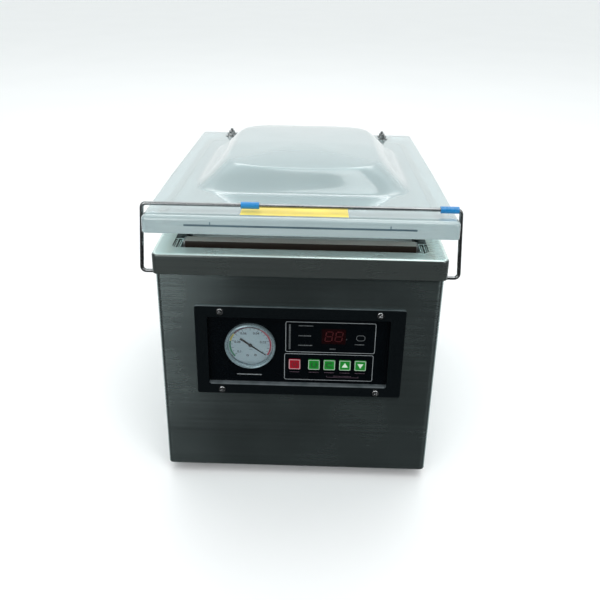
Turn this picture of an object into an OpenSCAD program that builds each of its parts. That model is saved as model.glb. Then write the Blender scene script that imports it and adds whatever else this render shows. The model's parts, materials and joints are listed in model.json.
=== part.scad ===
// Desktop chamber vacuum packing machine: a steel cabinet with a deep-drawn chamber, a clear
// domed lid on rear hinges, a wire bail that holds the lid down, a heated seal bar on two lift
// rods, a control panel with a vacuum gauge, and a rotary-vane pump on the base plate.
// Millimetres. X to the right, Y to the back, Z up, origin under the middle of the machine.

/* [Cabinet] */
// Width of the cabinet
cab_w = 324; // [318:1:326]
// Depth of the cabinet, front face to rear panel
cab_d = 436; // [430:1:437]
// Height of the cabinet side below the rim's skirt
cab_h = 266; // [255:1:300]
// Thickness of the cabinet sheet
sheet = 1.2; // [1:0.1:1.4]
// Outside radius of the cabinet's bends
bend = 7; // [4:0.5:10]
// Height of the rubber feet
foot_h = 14; // [12:1:24]
// Diameter of the rubber feet
foot_d = 30; // [26:1:36]
// Inset of the feet from the cabinet's sides
foot_inset = 45; // [40:1:60]

/* [Chamber and rim] */
// Width of the rim
rim_w = 330; // [330:1:334]
// Depth of the rim, front to back
rim_d = 442; // [440:1:446]
// How far the rim stands ahead of the cabinet
rim_over = 2; // [1.8:0.1:3]
// Height of the skirt under the rim
skirt_h = 25; // [20:1:30]
// Thickness of the rim sheet
rim_t = 1.5; // [1.2:0.1:1.5]
// Radius of the rim's top edge
rim_edge = 4; // [2:0.5:5]
// Width of the chamber
chamber_w = 290; // [288:1:292]
// Length of the chamber, front to back
chamber_l = 375; // [370:1:376]
// Depth of the chamber
chamber_h = 50; // [46:1:60]
// Width of the rim strip ahead of the chamber
rim_front = 19; // [18:0.5:21]

/* [Lid] */
// Width of the lid
lid_w = 344; // [342:1:344]
// Length of the lid, front to back
lid_l = 455; // [453:1:457]
// Thickness of the lid plate
lid_t = 20; // [19:0.5:22]
// Gap between the rim and the closed lid
lid_gap = 3; // [3:0.1:4]
// How far the lid stands ahead of the rim
lid_over = 6; // [5:0.5:8]
// Angle at which the lid rests open on its springs
lid_rest = 2.9; // [2:0.1:3.2]
// Radius of the lid's front top edge
lid_edge = 5; // [3:0.5:6]
// Height of the dome above the lid plate
dome_h = 36; // [30:1:40]
// Wall thickness of the dome
dome_t = 5; // [4:0.5:6]
// Width of the dome at its foot
dome_w = 280; // [270:1:284]
// Length of the dome at its foot
dome_l = 292; // [280:1:300]
// Distance from the lid's front edge to the dome's foot
dome_from = 82; // [78:1:90]

/* [Hinges] */
// Distance of each hinge from the middle
hinge_x = 124; // [110:1:130]
// How far the hinge pin lies behind the lid
hinge_back = 10; // [10:0.5:12]
// Height of the hinge pin above the rim
hinge_up = 5; // [5:0.5:6]
// Diameter of the hinge pin
hinge_pin_d = 6; // [5:0.5:6]
// Width of the hinge strap
strap_w = 26; // [24:1:28]

/* [Bail] */
// Diameter of the bail wire
wire_d = 4.4; // [4:0.1:4.6]
// Width of the bail between wire centres
bail_w = 354; // [350:1:360]
// Distance from the bail's pivot to its bar
bail_leg = 80.2; // [80.2:0.1:82]
// Angle at which the bail leans back over the lid
bail_lean = 2.5; // [2:0.1:4]
// Distance of the bail's pivot behind the cabinet front
bail_back = 12.5; // [12.5:0.5:14]
// Radius of the bail's bends, at the wire centre
bail_bend = 4.5; // [4:0.5:6]
// Diameter of the blue sleeves
sleeve_d = 7.8; // [7.4:0.1:7.8]
// Length of each sleeve
sleeve_l = 20; // [16:1:24]
// Where the left sleeve starts, from the middle of the bar
sleeve_x = -65.5; // [-75:0.5:-50]

/* [Control panel] */
// Width of the panel frame
panel_w = 242; // [240:1:250]
// Height of the panel frame
panel_h = 117.5; // [115:0.5:120]
// Height of the panel's middle above the cabinet's lower edge
panel_up = 168; // [160:1:172]
// Width of the recessed field
field_w = 211; // [211:1:215]
// Height of the recessed field
field_h = 90; // [88:1:92]
// Depth of the recessed field behind the frame's face
field_in = 6; // [5:0.5:7]
// Side of a square key
key_s = 13.7; // [13:0.1:15.2]
// Travel of a key
key_travel = 0.7; // [0.5:0.1:0.8]

/* [Gauge] */
// Diameter of the gauge's bezel
gauge_d = 59.6; // [58:0.2:61]
// Sideways place of the gauge
gauge_x = -56.5; // [-60:0.5:-54]
// Depth of the gauge's case behind the field
gauge_in = 30; // [26:1:34]

/* [Seal bar] */
// Length of the seal bar
bar_l = 266; // [260:1:268]
// Width of the seal bar
bar_w = 15; // [14:0.5:16]
// Height of the seal bar's top above the rim at rest
bar_up = 4.5; // [3:0.5:5]
// Travel of the seal bar
bar_travel = 6; // [4:0.5:6]
// Sideways distance of the lift rods from the middle
lift_x = 100; // [96:1:104]

/* [Pump] */
// Diameter of the pump motor
motor_d = 112; // [100:1:116]
// Length of the pump motor's housing
motor_l = 118; // [110:1:120]

/* [Hidden] */

eps = 0.01;
round_fn = 64;

// Rear panel
rear_screw_x = cab_w / 2 - 9;
rear_screw_up = [20, 130, 235];       // heights above the cabinet's lower edge
gland_x = -100;
gland_out = 30;                       // how far the cord gland stands out at the back
rocker_x = 100;
rear_low = 45;                        // height of the gland and the rocker above the lower edge

// Heights
zb = foot_h;                          // lower edge of the cabinet
rim_z = zb + cab_h + skirt_h;         // top of the rim
floor_z = rim_z - chamber_h;          // chamber floor
panel_z = zb + panel_up;              // middle of the control panel

// Depths: the box around the machine is centred on the origin
lid_drift = 0.5;                      // what the raised lid's front edge draws back
front_reach = rim_over + lid_over - lid_drift;
front = (front_reach - cab_d - gland_out) / 2;
back = front + cab_d;
rim_y0 = front - rim_over;
rim_y1 = rim_y0 + rim_d;
chamber_y0 = rim_y0 + rim_front;
chamber_y1 = chamber_y0 + chamber_l;
chamber_r = 6;                        // radius of the chamber's upright corners

// Lid, in its closed place
lid_y0 = rim_y0 - lid_over;
lid_y1 = lid_y0 + lid_l;
lid_z0 = rim_z + lid_gap;
lid_z1 = lid_z0 + lid_t;
hinge_y = lid_y1 + hinge_back;
hinge_z = rim_z + hinge_up;
dome_y = lid_y0 + dome_from + dome_l / 2;
dome_n = 48;                          // points on each level of the dome
dome_rise = 8;                        // levels on its slope
dome_lean_x = 48;                     // how far the sides lean in, and the ends
dome_lean_y = 34;
dome_square = 4.6;                    // exponent of its outline: 2 is an ellipse
dome_crown = 1.5;                     // how much its top is crowned

// Gasket, counter bar and seal bar
gasket_w = 8;
gasket_in = 5;
gasket_x = chamber_w / 2 + 9;
gasket_y0 = chamber_y0 - 8.5;
gasket_y1 = chamber_y1 + 8;
gasket_stand = lid_gap - 0.2;
bar_y = chamber_y0 + 14.5;
bar_z1 = rim_z + bar_up;
tape_t = 0.4;
counter_l = 268;
counter_w = 18;
counter_z0 = bar_z1 + bar_travel;
counter_z1 = lid_z0 + 13.5;

// Hinge bolts pass through the strap and the lid in two rows
bolt_y = [lid_y1 - 33, lid_y1 - 13];
bolt_d = 5;
bolt_hole = bolt_d + 0.4;
strap_t = 2.4;

// Hinge ears stand either side of the strap's knuckle
ear_t = 3;
ear_gap = strap_w / 2 + 0.4;

// Bail
bail_y = front + bail_back;
bail_z = rim_z - skirt_h - wire_d / 2 - 0.6;

// Control panel
panel_x = 1.4;
field_x = 0;
plate_t = 2;
panel_y = front - plate_t;            // face of the frame
field_y = panel_y + field_in;         // face of the recessed field
overlay_t = 0.8;
tray_t = 1.2;
screw_dx = 91.6;
screw_dz = 52.7;
key_z = panel_z - 18.9;
key_x = [-4.1, 18.9, 37.1, 55.5, 73.7];
key_proud = 1.2;
key_gap = 0.4;
key_hole = key_s + 2 * key_gap;
key_back = 2.4;                       // how far a key reaches behind the overlay's face
display_x = 41;
display_z = panel_z + 19.5;
display_w = 28;
display_h = 20;
board_y = field_y + 7;
board_t = 1.6;
board_x0 = -20;
board_x1 = 102;
gauge_z = panel_z + 5;
dial_d = 52;
dial_in = 1;                          // depth of the dial behind the field
bezel_out = 5;                        // how far the bezel stands out of the field
gauge_stem = 12;                      // length of the gauge's stem behind its case
needle_y = field_y;

// Pump
pump_y = front + 300;
pump_z = zb + 76;
motor_x0 = -118;
pump_x0 = motor_x0 + motor_l;
pump_l = 80;
shaft_d = 14;
vane_bore = 64;

// Vacuum port in the chamber floor, and the valve block that hangs under it
port_x = pump_x0 + pump_l / 2;
port_y = pump_y + 40;
port_drop = 28;
block_z1 = floor_z - port_drop;
block_z0 = block_z1 - 22;
channel_z = (block_z0 + block_z1) / 2;
coil_y = port_y - 18;
barb_d = 12;

// Lid switch
switch_x = -60;
switch_y = rim_y1 - 14;

steel = [0.72, 0.74, 0.75];
dark_steel = [0.45, 0.47, 0.48];
acrylic = [0.82, 0.89, 0.89, 0.6];
black = [0.06, 0.07, 0.08];
rubber = [0.1, 0.1, 0.1];
silicone = [0.85, 0.83, 0.78];

// ---------------------------------------------------------------- helpers

// Flat rectangle with round corners, centred
module rounded(w, d, r) {
    square([w - 2 * r, d], center = true);
    square([w, d - 2 * r], center = true);
    for (x = [-1, 1], y = [-1, 1])
        translate([x * (w / 2 - r), y * (d / 2 - r)]) circle(r, $fn = round_fn);
}

// Upright plate with round corners: w along X, h along Z, from y0 to y0 + t
module upright(w, h, r, y0, t) {
    translate([0, y0 + t, 0]) rotate([90, 0, 0]) linear_extrude(t) rounded(w, h, r);
}

// Box from its low corner to its high corner
module span(a, b) {
    translate(a) cube(b - a);
}

// Cylinder along X, along Y, or along Z, starting at p
module rod_x(p, d, l) {
    translate(p) rotate([0, 90, 0]) cylinder(d = d, h = l, $fn = round_fn);
}

module rod_y(p, d, l) {
    translate(p) rotate([-90, 0, 0]) cylinder(d = d, h = l, $fn = round_fn);
}

module rod_z(p, d, l) {
    translate(p) cylinder(d = d, h = l, $fn = round_fn);
}

// Straight tube or rod between two points
module strut(a, b, d) {
    v = b - a;
    l = norm(v);
    translate(a) rotate([0, acos(v.z / l), atan2(v.y, v.x)]) cylinder(d = d, h = l, $fn = 32);
}

// Pipe through a list of points that turns square corners on bends of radius r
module pipe(p, d, r) {
    n = len(p);
    u = [for (i = [0 : n - 2]) (p[i + 1] - p[i]) / norm(p[i + 1] - p[i])];
    for (i = [0 : n - 2])
        strut(p[i] + (i > 0 ? r : 0) * u[i], p[i + 1] - (i < n - 2 ? r : 0) * u[i], d);
    for (i = [1 : n - 2]) {
        c = p[i] + r * (u[i] - u[i - 1]);
        z = cross(-u[i], u[i - 1]);
        multmatrix([
            [-u[i].x, u[i - 1].x, z.x, c.x],
            [-u[i].y, u[i - 1].y, z.y, c.y],
            [-u[i].z, u[i - 1].z, z.z, c.z]
        ]) rotate_extrude(angle = 90, $fn = round_fn) translate([r, 0]) circle(d = d, $fn = 32);
    }
}

// Pan-head screw that points along +Y from its head's seat at the origin
module pan_screw(head_d, head_h, shank_d, shank_l) {
    difference() {
        rotate([90, 0, 0]) rotate_extrude($fn = 48) {
            square([head_d / 2 - 0.8, head_h]);
            square([head_d / 2, head_h - 0.8]);
            translate([head_d / 2 - 0.8, head_h - 0.8]) circle(0.8, $fn = 32);
        }
        for (a = [0, 90])
            rotate([0, a + 45, 0]) translate([-head_d * 0.3, -head_h - 1, -0.6])
                cube([head_d * 0.6, 2.2, 1.2]);
    }
    rod_y([0, 0, 0], shank_d, shank_l);
}

// Turns what is drawn for the closed lid up to where the lid rests
module at_lid() {
    translate([0, hinge_y, hinge_z]) rotate([-lid_rest, 0, 0])
        translate([0, -hinge_y, -hinge_z]) children();
}

// Leans what is drawn for the upright bail back to where it rests
module at_bail() {
    translate([0, bail_y, bail_z]) rotate([-bail_lean, 0, 0]) children();
}

// ---------------------------------------------------------------- cabinet

module cabinet_shell() {
    top = rim_z - rim_t - 1.1 - zb;
    slots = 7;
    color(steel) difference() {
        union() {
            translate([0, front + cab_d / 2, zb]) linear_extrude(top) difference() {
                rounded(cab_w, cab_d, bend);
                rounded(cab_w - 2 * sheet, cab_d - 2 * sheet, bend - sheet);
                translate([0, cab_d / 2]) square([cab_w - 28, 10], center = true);
            }
            rim_rails();
        }
        translate([panel_x, 0, panel_z]) upright(field_w + 6, field_h + 6, 2, front - 2, 6);
        for (x = [-1, 1], z = [-1, 1])
            rod_y([panel_x + x * screw_dx, front - 1, panel_z + z * screw_dz], 4.4, 4);
        rod_x([-cab_w, bail_y, bail_z], 8.2, 2 * cab_w);
        for (i = [0 : slots - 1])
            span([-cab_w, front + 280 + 14 * i, zb + 30], [cab_w, front + 283 + 14 * i, zb + 70]);
        for (x = [-1, 1], z = rear_screw_up)
            rod_y([x * rear_screw_x, back - 5, zb + z], 3.4, 10);
    }
}

// Welded angles along the cabinet's sides that carry the rim
module rim_rails() {
    x1 = cab_w / 2 - sheet / 2;
    z1 = rim_z - rim_t;
    for (s = [0, 1]) mirror([s, 0, 0]) {
        span([x1 - 2, front + 30, z1 - 10], [x1, back - 30, z1]);
        span([x1 - 11, front + 30, z1 - 1.5], [x1, back - 30, z1]);
    }
}

module rear_panel() {
    w = cab_w - 6;
    h = cab_h - 4;
    slots = 9;
    color(steel) difference() {
        translate([0, 0, zb + 2 + h / 2]) upright(w, h, 3, back, sheet);
        for (side = [-1, 1], i = [0 : slots - 1])
            translate([side * 62, 0, zb + 150 + 9 * i]) upright(70, 3, 1.4, back - 1, 4);
        for (x = [-1, 1], z = rear_screw_up)
            rod_y([x * rear_screw_x, back - 1, zb + z], 3.4, 4);
        rod_y([gland_x, back - 1, zb + rear_low], 16.2, 4);
        span([rocker_x - 13.5, back - 1, zb + rear_low - 10.5],
             [rocker_x + 13.5, back + 3, zb + rear_low + 10.5]);
    }
}

module rear_screws() {
    color(steel) for (x = [-1, 1], z = rear_screw_up)
        translate([x * rear_screw_x, back + sheet, zb + z]) rotate([0, 0, 180])
            pan_screw(6.4, 2, 3, 6);
}

module base_plate() {
    w = cab_w - 2 * sheet - 0.6;
    d = cab_d - 2 * sheet - 0.6;
    color(dark_steel) difference() {
        translate([0, front + cab_d / 2, zb]) linear_extrude(1.5) rounded(w, d, bend - sheet);
        for (x = [-1, 1], y = [front + foot_inset, back - foot_inset])
            rod_z([x * (cab_w / 2 - foot_inset), y, zb - 1], 5.4, 4);
        for (i = [-3 : 3], j = [0 : 4])
            rod_z([i * 14, front + 90 + 14 * j, zb - 1], 6, 4);
    }
}

module feet() {
    color(rubber) for (x = [-1, 1], y = [front + foot_inset, back - foot_inset])
        translate([x * (cab_w / 2 - foot_inset), y, 0]) difference() {
            rotate_extrude($fn = round_fn) polygon([
                [0, 0], [foot_d / 2 - 3, 0], [foot_d / 2 - 2, 1], [foot_d / 2, foot_h],
                [0, foot_h]
            ]);
            translate([0, 0, -1]) cylinder(d = 12, h = foot_h / 2 + 1, $fn = round_fn);
            translate([0, 0, 1]) cylinder(d = 5.4, h = foot_h, $fn = round_fn);
        }
}

module foot_screws() {
    color(steel) for (x = [-1, 1], y = [front + foot_inset, back - foot_inset])
        translate([x * (cab_w / 2 - foot_inset), y, foot_h / 2]) {
            translate([0, 0, -3]) cylinder(d = 9, h = 3, $fn = 48);
            cylinder(d = 4.8, h = foot_h / 2 + 8, $fn = 48);
            translate([0, 0, foot_h / 2 + 1.5]) cylinder(d = 9, h = 4, $fn = 6);
        }
}

// ---------------------------------------------------------------- chamber

// Cross-section of the rim: its outer face is at x = 0, and the top runs inwards to -bend
module rim_section() {
    e = rim_edge;
    translate([-rim_t, -skirt_h]) square([rim_t, skirt_h - e]);
    translate([-bend, -rim_t]) square([bend - e, rim_t]);
    translate([-e, -e]) intersection() {
        difference() {
            circle(e, $fn = round_fn);
            circle(e - rim_t, $fn = round_fn);
        }
        square([e + 1, e + 1]);
    }
}

// Round or straight, the rim's border has the same section all the way round
module rim_border() {
    w = rim_w / 2 - bend;
    d = rim_d / 2 - bend;
    translate([0, rim_y0 + rim_d / 2, rim_z]) {
        for (k = [0, 1]) {
            mirror([k, 0, 0]) translate([rim_w / 2, d, 0])
                rotate([90, 0, 0]) linear_extrude(2 * d) rim_section();
            mirror([0, k, 0]) rotate([0, 0, 90]) translate([rim_d / 2, w, 0])
                rotate([90, 0, 0]) linear_extrude(2 * w) rim_section();
        }
        for (a = [0 : 3])
            rotate([0, 0, a * 90]) translate(a % 2 == 0 ? [w, d, 0] : [d, w, 0])
                rotate_extrude(angle = 90, $fn = round_fn) translate([bend, 0]) rim_section();
    }
}

module chamber_pan() {
    cy = (chamber_y0 + chamber_y1) / 2;
    color(steel) difference() {
        union() {
            rim_border();
            translate([0, rim_y0 + rim_d / 2, rim_z - rim_t]) linear_extrude(rim_t)
                square([rim_w - 2 * bend, rim_d - 2 * bend], center = true);
            translate([0, cy, floor_z - rim_t]) linear_extrude(chamber_h + rim_t - eps)
                rounded(chamber_w + 2 * rim_t, chamber_l + 2 * rim_t, chamber_r + rim_t);
        }
        translate([0, cy, floor_z]) linear_extrude(chamber_h + 5)
            rounded(chamber_w, chamber_l, chamber_r);
        for (s = [-1, 1]) rod_z([s * lift_x, bar_y, floor_z - 5], 9.2, 10);
        rod_z([port_x, port_y, floor_z - 5], 16.4, 10);
        rod_z([switch_x, switch_y, rim_z - 5], 5, 10);
    }
}

module filler_plate() {
    y0 = bar_y + bar_w / 2 + 14;
    y1 = chamber_y1 - 6;
    color([0.93, 0.94, 0.93]) difference() {
        translate([0, (y0 + y1) / 2, floor_z + 0.2]) linear_extrude(18)
            rounded(chamber_w - 8, y1 - y0, 8);
        rod_z([port_x, port_y, floor_z - 5], 34, 40);
        for (x = [-1, 1]) rod_z([x * 95, (y0 + y1) / 2, floor_z - 5], 24, 40);
    }
}

module bar_guides() {
    x0 = bar_l / 2 + 2.4;
    x1 = chamber_w / 2 - 0.2;
    y0 = chamber_y0 + 0.2;
    y1 = bar_y + bar_w / 2 + 5;
    z0 = rim_z - 34;
    z1 = rim_z - 0.6;
    fins = 4;
    pitch = (x1 - x0 - 1.4) / (fins - 1);
    color(steel) for (s = [0, 1]) mirror([s, 0, 0]) intersection() {
        union() {
            span([x0, y0, z0], [x1, y1, z0 + 3]);
            span([x0, y1 - 2, z0], [x1, y1, z1]);
            for (i = [0 : fins - 1])
                span([x0 + i * pitch, y0, z0], [x0 + i * pitch + 1.4, y1, z1 - 1.2 * (i % 2)]);
        }
        translate([0, (chamber_y0 + chamber_y1) / 2, z0 - 1]) linear_extrude(40)
            rounded(chamber_w - 0.4, chamber_l - 0.4, chamber_r);
    }
}

module lift_cylinders() {
    h = 46;
    color(dark_steel) for (s = [-1, 1]) translate([s * lift_x, bar_y, floor_z - rim_t - h])
        difference() {
            union() {
                cylinder(d = 31, h = h, $fn = round_fn);
                translate([0, 0, h - 3]) cylinder(d = 37, h = 3, $fn = round_fn);
            }
            translate([0, 0, 4]) cylinder(d = 24, h = h - 8, $fn = round_fn);
            translate([0, 0, 5]) cylinder(d = 8.2, h = h, $fn = round_fn);
        }
}

module vacuum_port() {
    color("goldenrod") translate([port_x, port_y, floor_z]) difference() {
        union() {
            cylinder(d = 26, h = 3, $fn = round_fn);
            translate([0, 0, -22]) cylinder(d = 16, h = 24, $fn = round_fn);
            translate([0, 0, -rim_t - 7]) cylinder(d = 26, h = 7, $fn = 6);
            translate([0, 0, -port_drop]) cylinder(d = 12, h = 10, $fn = round_fn);
        }
        translate([0, 0, -port_drop - 1]) cylinder(d = 8, h = port_drop + 2, $fn = round_fn);
        for (a = [0 : 60 : 300]) rotate([0, 0, a])
            translate([6, 0, 0.5]) cylinder(d = 3.2, h = 4, $fn = 32);
    }
}

// ---------------------------------------------------------------- hinges

module hinge_bases() {
    r = 7;
    gap = ear_gap;
    color(dark_steel) for (s = [0, 1]) mirror([s, 0, 0]) translate([hinge_x, 0, 0]) {
        span([-gap - 26, rim_y1, rim_z - 24], [gap + ear_t, rim_y1 + 3, rim_z - 5]);
        for (x = [-gap - ear_t, gap]) difference() {
            union() {
                translate([x, 0, 0]) rotate([90, 0, 90]) linear_extrude(ear_t) polygon([
                    [rim_y1, rim_z - 24], [rim_y1 + 6, rim_z - 24], [hinge_y + r, hinge_z],
                    [hinge_y - r, hinge_z], [rim_y1 + 1, rim_z - 5], [rim_y1, rim_z - 5]
                ]);
                rod_x([x, hinge_y, hinge_z], 2 * r, ear_t);
            }
            rod_x([x - 1, hinge_y, hinge_z], hinge_pin_d + 0.1, ear_t + 2);
        }
    }
}

module hinge_pins() {
    gap = ear_gap;
    color(steel) for (s = [0, 1]) mirror([s, 0, 0]) {
        rod_x([hinge_x - gap - 25, hinge_y, hinge_z], hinge_pin_d, 2 * gap + 28.2);
        rod_x([hinge_x + gap + 3.1, hinge_y, hinge_z], 9.5, 2.5);
        rod_x([hinge_x - gap - 26, hinge_y, hinge_z], 9.5, 2);
    }
}

// Wound torsion springs on the pins, drawn as close-wound coils with a straight leg
module lid_springs() {
    wire = 2.6;
    turns = 7;
    mean = hinge_pin_d / 2 + 0.4 + wire / 2;
    x = hinge_x - ear_gap - ear_t - 2;
    leg = [rim_y1 + 3.2 + wire / 2 - hinge_y, -20];
    color(dark_steel) for (s = [0, 1]) mirror([s, 0, 0]) translate([x, hinge_y, hinge_z]) {
        rotate([0, -90, 0]) rotate_extrude($fn = 48)
            for (i = [0 : turns - 1]) translate([mean, i * wire * 0.9]) circle(d = wire, $fn = 24);
        strut([-wire / 2, -mean, 0], [-wire / 2, leg.x, leg.y], wire);
    }
}

module bail_bushes() {
    color("ivory") for (s = [0, 1]) mirror([s, 0, 0]) difference() {
        union() {
            rod_x([cab_w / 2 - sheet - 3, bail_y, bail_z], 8, sheet + 4.2);
            rod_x([cab_w / 2 - sheet - 3, bail_y, bail_z], 10, 2.9);
        }
        rod_x([cab_w / 2 - sheet - 4, bail_y, bail_z], wire_d + 0.3, sheet + 8);
    }
}

// ---------------------------------------------------------------- control panel

module panel_frame() {
    tray_y = field_y + overlay_t;
    color(black) difference() {
        union() {
            translate([panel_x, 0, panel_z]) upright(panel_w, panel_h, 2.5, panel_y, plate_t);
            translate([field_x, 0, panel_z])
                upright(field_w + 2 * tray_t, field_h + 2 * tray_t, 1.5, panel_y + 1,
                        tray_y + tray_t - panel_y - 1);
            for (x = [board_x0 + 4, board_x1 - 4], z = [-38, 40])
                rod_y([x, tray_y, panel_z + z], 5, board_y - tray_y);
        }
        translate([field_x, 0, panel_z])
            upright(field_w, field_h, 0.8, panel_y - 1, tray_y - panel_y + 1);
        for (x = [-1, 1], z = [-1, 1])
            rod_y([panel_x + x * screw_dx, panel_y - 1, panel_z + z * screw_dz], 4.4, 5);
        rod_y([gauge_x, field_y - 1, gauge_z], gauge_d - 2.4, 6);
        for (x = key_x) translate([x, 0, key_z])
            upright(key_hole, key_hole, 1.6, field_y - 1, 6);
        translate([display_x, 0, display_z])
            upright(display_w - 2, display_h - 2, 1, field_y - 1, 6);
        translate([field_x, panel_y - 0.1, panel_z - field_h / 2]) rotate([45, 0, 0])
            cube([field_w - 4, 1.8, 1.8], center = true);
    }
}

module panel_overlay() {
    color([0.03, 0.04, 0.05]) difference() {
        translate([field_x, 0, panel_z])
            upright(field_w - 0.4, field_h - 0.4, 0.8, field_y, overlay_t);
        rod_y([gauge_x, field_y - 1, gauge_z], gauge_d - 2.4, 6);
        for (x = key_x) translate([x, 0, key_z])
            upright(key_hole, key_hole, 1.6, field_y - 1, 6);
        translate([display_x, 0, display_z])
            upright(display_w + 0.2, display_h + 0.2, 1.2, field_y - 1, 6);
    }
}

module panel_screws() {
    color(steel) for (x = [-1, 1], z = [-1, 1])
        translate([panel_x + x * screw_dx, panel_y, panel_z + z * screw_dz])
            pan_screw(8, 2.4, 3.8, 12);
}

module display_lens() {
    color([0.25, 0.02, 0.03]) translate([display_x, 0, display_z])
        upright(display_w, display_h, 1.1, field_y, overlay_t);
}

module control_board() {
    tray_y = field_y + overlay_t + tray_t;
    color([0.1, 0.35, 0.2]) {
        span([board_x0, board_y, panel_z - 42], [board_x1, board_y + board_t, panel_z + 44]);
        for (x = key_x)
            span([x - 3, field_y + key_back + key_travel + 0.4, key_z - 3],
                 [x + 3, board_y, key_z + 3]);
        span([display_x - 15, tray_y + 0.4, display_z - 10],
             [display_x + 15, board_y, display_z + 10]);
        span([10, board_y + board_t, panel_z - 20], [38, board_y + 5, panel_z - 10]);
        for (x = [50, 68]) rod_y([x, board_y + board_t, panel_z + 5], 10, 9);
        span([-12, board_y + board_t, panel_z + 4], [10, board_y + 12, panel_z + 26]);
    }
}

module key(i, tint) {
    color(tint) translate([key_x[i], 0, key_z]) {
        upright(key_s, key_s, 1.4, field_y - key_proud, key_proud + key_back);
    }
}

// ---------------------------------------------------------------- gauge

module gauge_case() {
    inner = gauge_d - 5.5;
    color(black) difference() {
        union() {
            rod_y([gauge_x, field_y + 0.2, gauge_z], gauge_d - 3, gauge_in);
            rod_y([gauge_x, field_y + gauge_in, gauge_z], 14, gauge_stem);
        }
        rod_y([gauge_x, field_y - 1, gauge_z], inner, gauge_in - 2);
        rod_y([gauge_x, field_y, gauge_z], 4, gauge_in + 14);
    }
}

module gauge_bezel() {
    r = gauge_d / 2;
    color(steel) translate([gauge_x, field_y, gauge_z]) rotate([90, 0, 0])
        rotate_extrude($fn = round_fn) polygon([
            [r - 3.6, -dial_in - 0.4], [r - 2.9, -dial_in - 0.4], [r - 2.9, 0.2], [r - 1.4, 0.2],
            [r - 1.4, 0], [r, 0], [r, bezel_out - 1.6], [r - 0.6, bezel_out - 0.4],
            [r - 1.6, bezel_out], [r - 2.6, bezel_out - 0.4], [r - 3.2, bezel_out - 1.6],
            [r - 3.6, bezel_out - 3]
        ]);
}

module gauge_dial() {
    color("white") difference() {
        rod_y([gauge_x, field_y + dial_in, gauge_z], dial_d, 0.8);
        rod_y([gauge_x, field_y + dial_in - 1, gauge_z], 3, 5);
    }
    color(dark_steel) difference() {
        rod_y([gauge_x, field_y + dial_in + 0.8, gauge_z], 22, 8);
        rod_y([gauge_x, field_y + dial_in, gauge_z], 3, 7);
    }
}

module gauge_lens() {
    color([0.9, 0.95, 1, 0.3]) rod_y([gauge_x, field_y - bezel_out + 3, gauge_z], gauge_d - 7.4, 1);
}

// The needle points to zero, down to the right
module gauge_needle() {
    tip = 21.9;
    tail = 14.5;
    color(black) {
        translate([gauge_x, needle_y, gauge_z]) rotate([0, 36, 0])
            translate([0, 0.6, 0]) rotate([90, 0, 0]) linear_extrude(0.6) polygon([
                [-tail, -1.2], [-tail, 1.2], [-4, 1], [0, 0.9], [tip, 0.25],
                [tip, -0.25], [0, -0.9], [-4, -1]
            ]);
        rod_y([gauge_x, needle_y - 0.2, gauge_z], 4.4, 0.9);
        rod_y([gauge_x, needle_y, gauge_z], 2.6, dial_in + 4.5);
    }
}

// ---------------------------------------------------------------- pump

module pump_motor() {
    fins = 20;
    bore = motor_d - 34;
    color([0.3, 0.36, 0.42]) difference() {
        union() {
            rod_x([motor_x0, pump_y, pump_z], motor_d - 10, motor_l);
            for (i = [0 : fins - 1]) translate([motor_x0 + 8, pump_y, pump_z])
                rotate([i * 360 / fins, 0, 0]) translate([0, -1, 0])
                    cube([motor_l - 16, 2, motor_d / 2]);
            span([motor_x0 + 20, pump_y - 46, zb + 11.5],
                 [motor_x0 + motor_l - 20, pump_y + 46, zb + 15.5]);
            for (y = [-34, 30])
                span([motor_x0 + 24, pump_y + y, zb + 15], [motor_x0 + motor_l - 24, pump_y + y + 4, pump_z]);
        }
        rod_x([motor_x0 + 6, pump_y, pump_z], bore, motor_l - 12);
        rod_x([motor_x0 - 1, pump_y, pump_z], shaft_d + 0.6, motor_l + 2);
    }
}

module fan_cowl() {
    l = 32;
    color([0.2, 0.22, 0.24]) difference() {
        rod_x([motor_x0 - l, pump_y, pump_z], motor_d - 4, l);
        rod_x([motor_x0 - l + 1.5, pump_y, pump_z], motor_d - 7, l);
        for (i = [0 : 7]) translate([motor_x0 - l - 1, pump_y, pump_z])
            rotate([i * 45, 0, 0]) translate([0, -3, 16]) cube([4, 6, 28]);
    }
}

// Shaft with the motor's core, the cooling fan and the pump's slotted rotor
module motor_rotor() {
    blades = 7;
    fit = shaft_d + 0.04;
    color(steel) rod_x([motor_x0 - 24, pump_y, pump_z], shaft_d, 24 + motor_l + pump_l - 6);
    color(dark_steel) difference() {
        rod_x([motor_x0 + 14, pump_y, pump_z], motor_d - 40, motor_l - 28);
        rod_x([motor_x0, pump_y, pump_z], fit, motor_l);
    }
    color("ivory") difference() {
        union() {
            rod_x([motor_x0 - 22, pump_y, pump_z], 34, 16);
            for (i = [0 : blades - 1]) translate([motor_x0 - 21, pump_y, pump_z])
                rotate([i * 360 / blades + 20, 0, 0]) translate([0, -1.5, 12]) cube([14, 3, 34]);
        }
        rod_x([motor_x0 - 23, pump_y, pump_z], fit, 18);
    }
    color(steel) difference() {
        rod_x([pump_x0 + 10, pump_y, pump_z], vane_bore - 10, pump_l - 20);
        for (a = [20, 200]) translate([pump_x0 + 9, pump_y, pump_z])
            rotate([a, 0, 0]) translate([0, 5, 10]) cube([pump_l - 18, 4, 30]);
        rod_x([pump_x0, pump_y, pump_z], fit, pump_l);
    }
}

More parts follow.
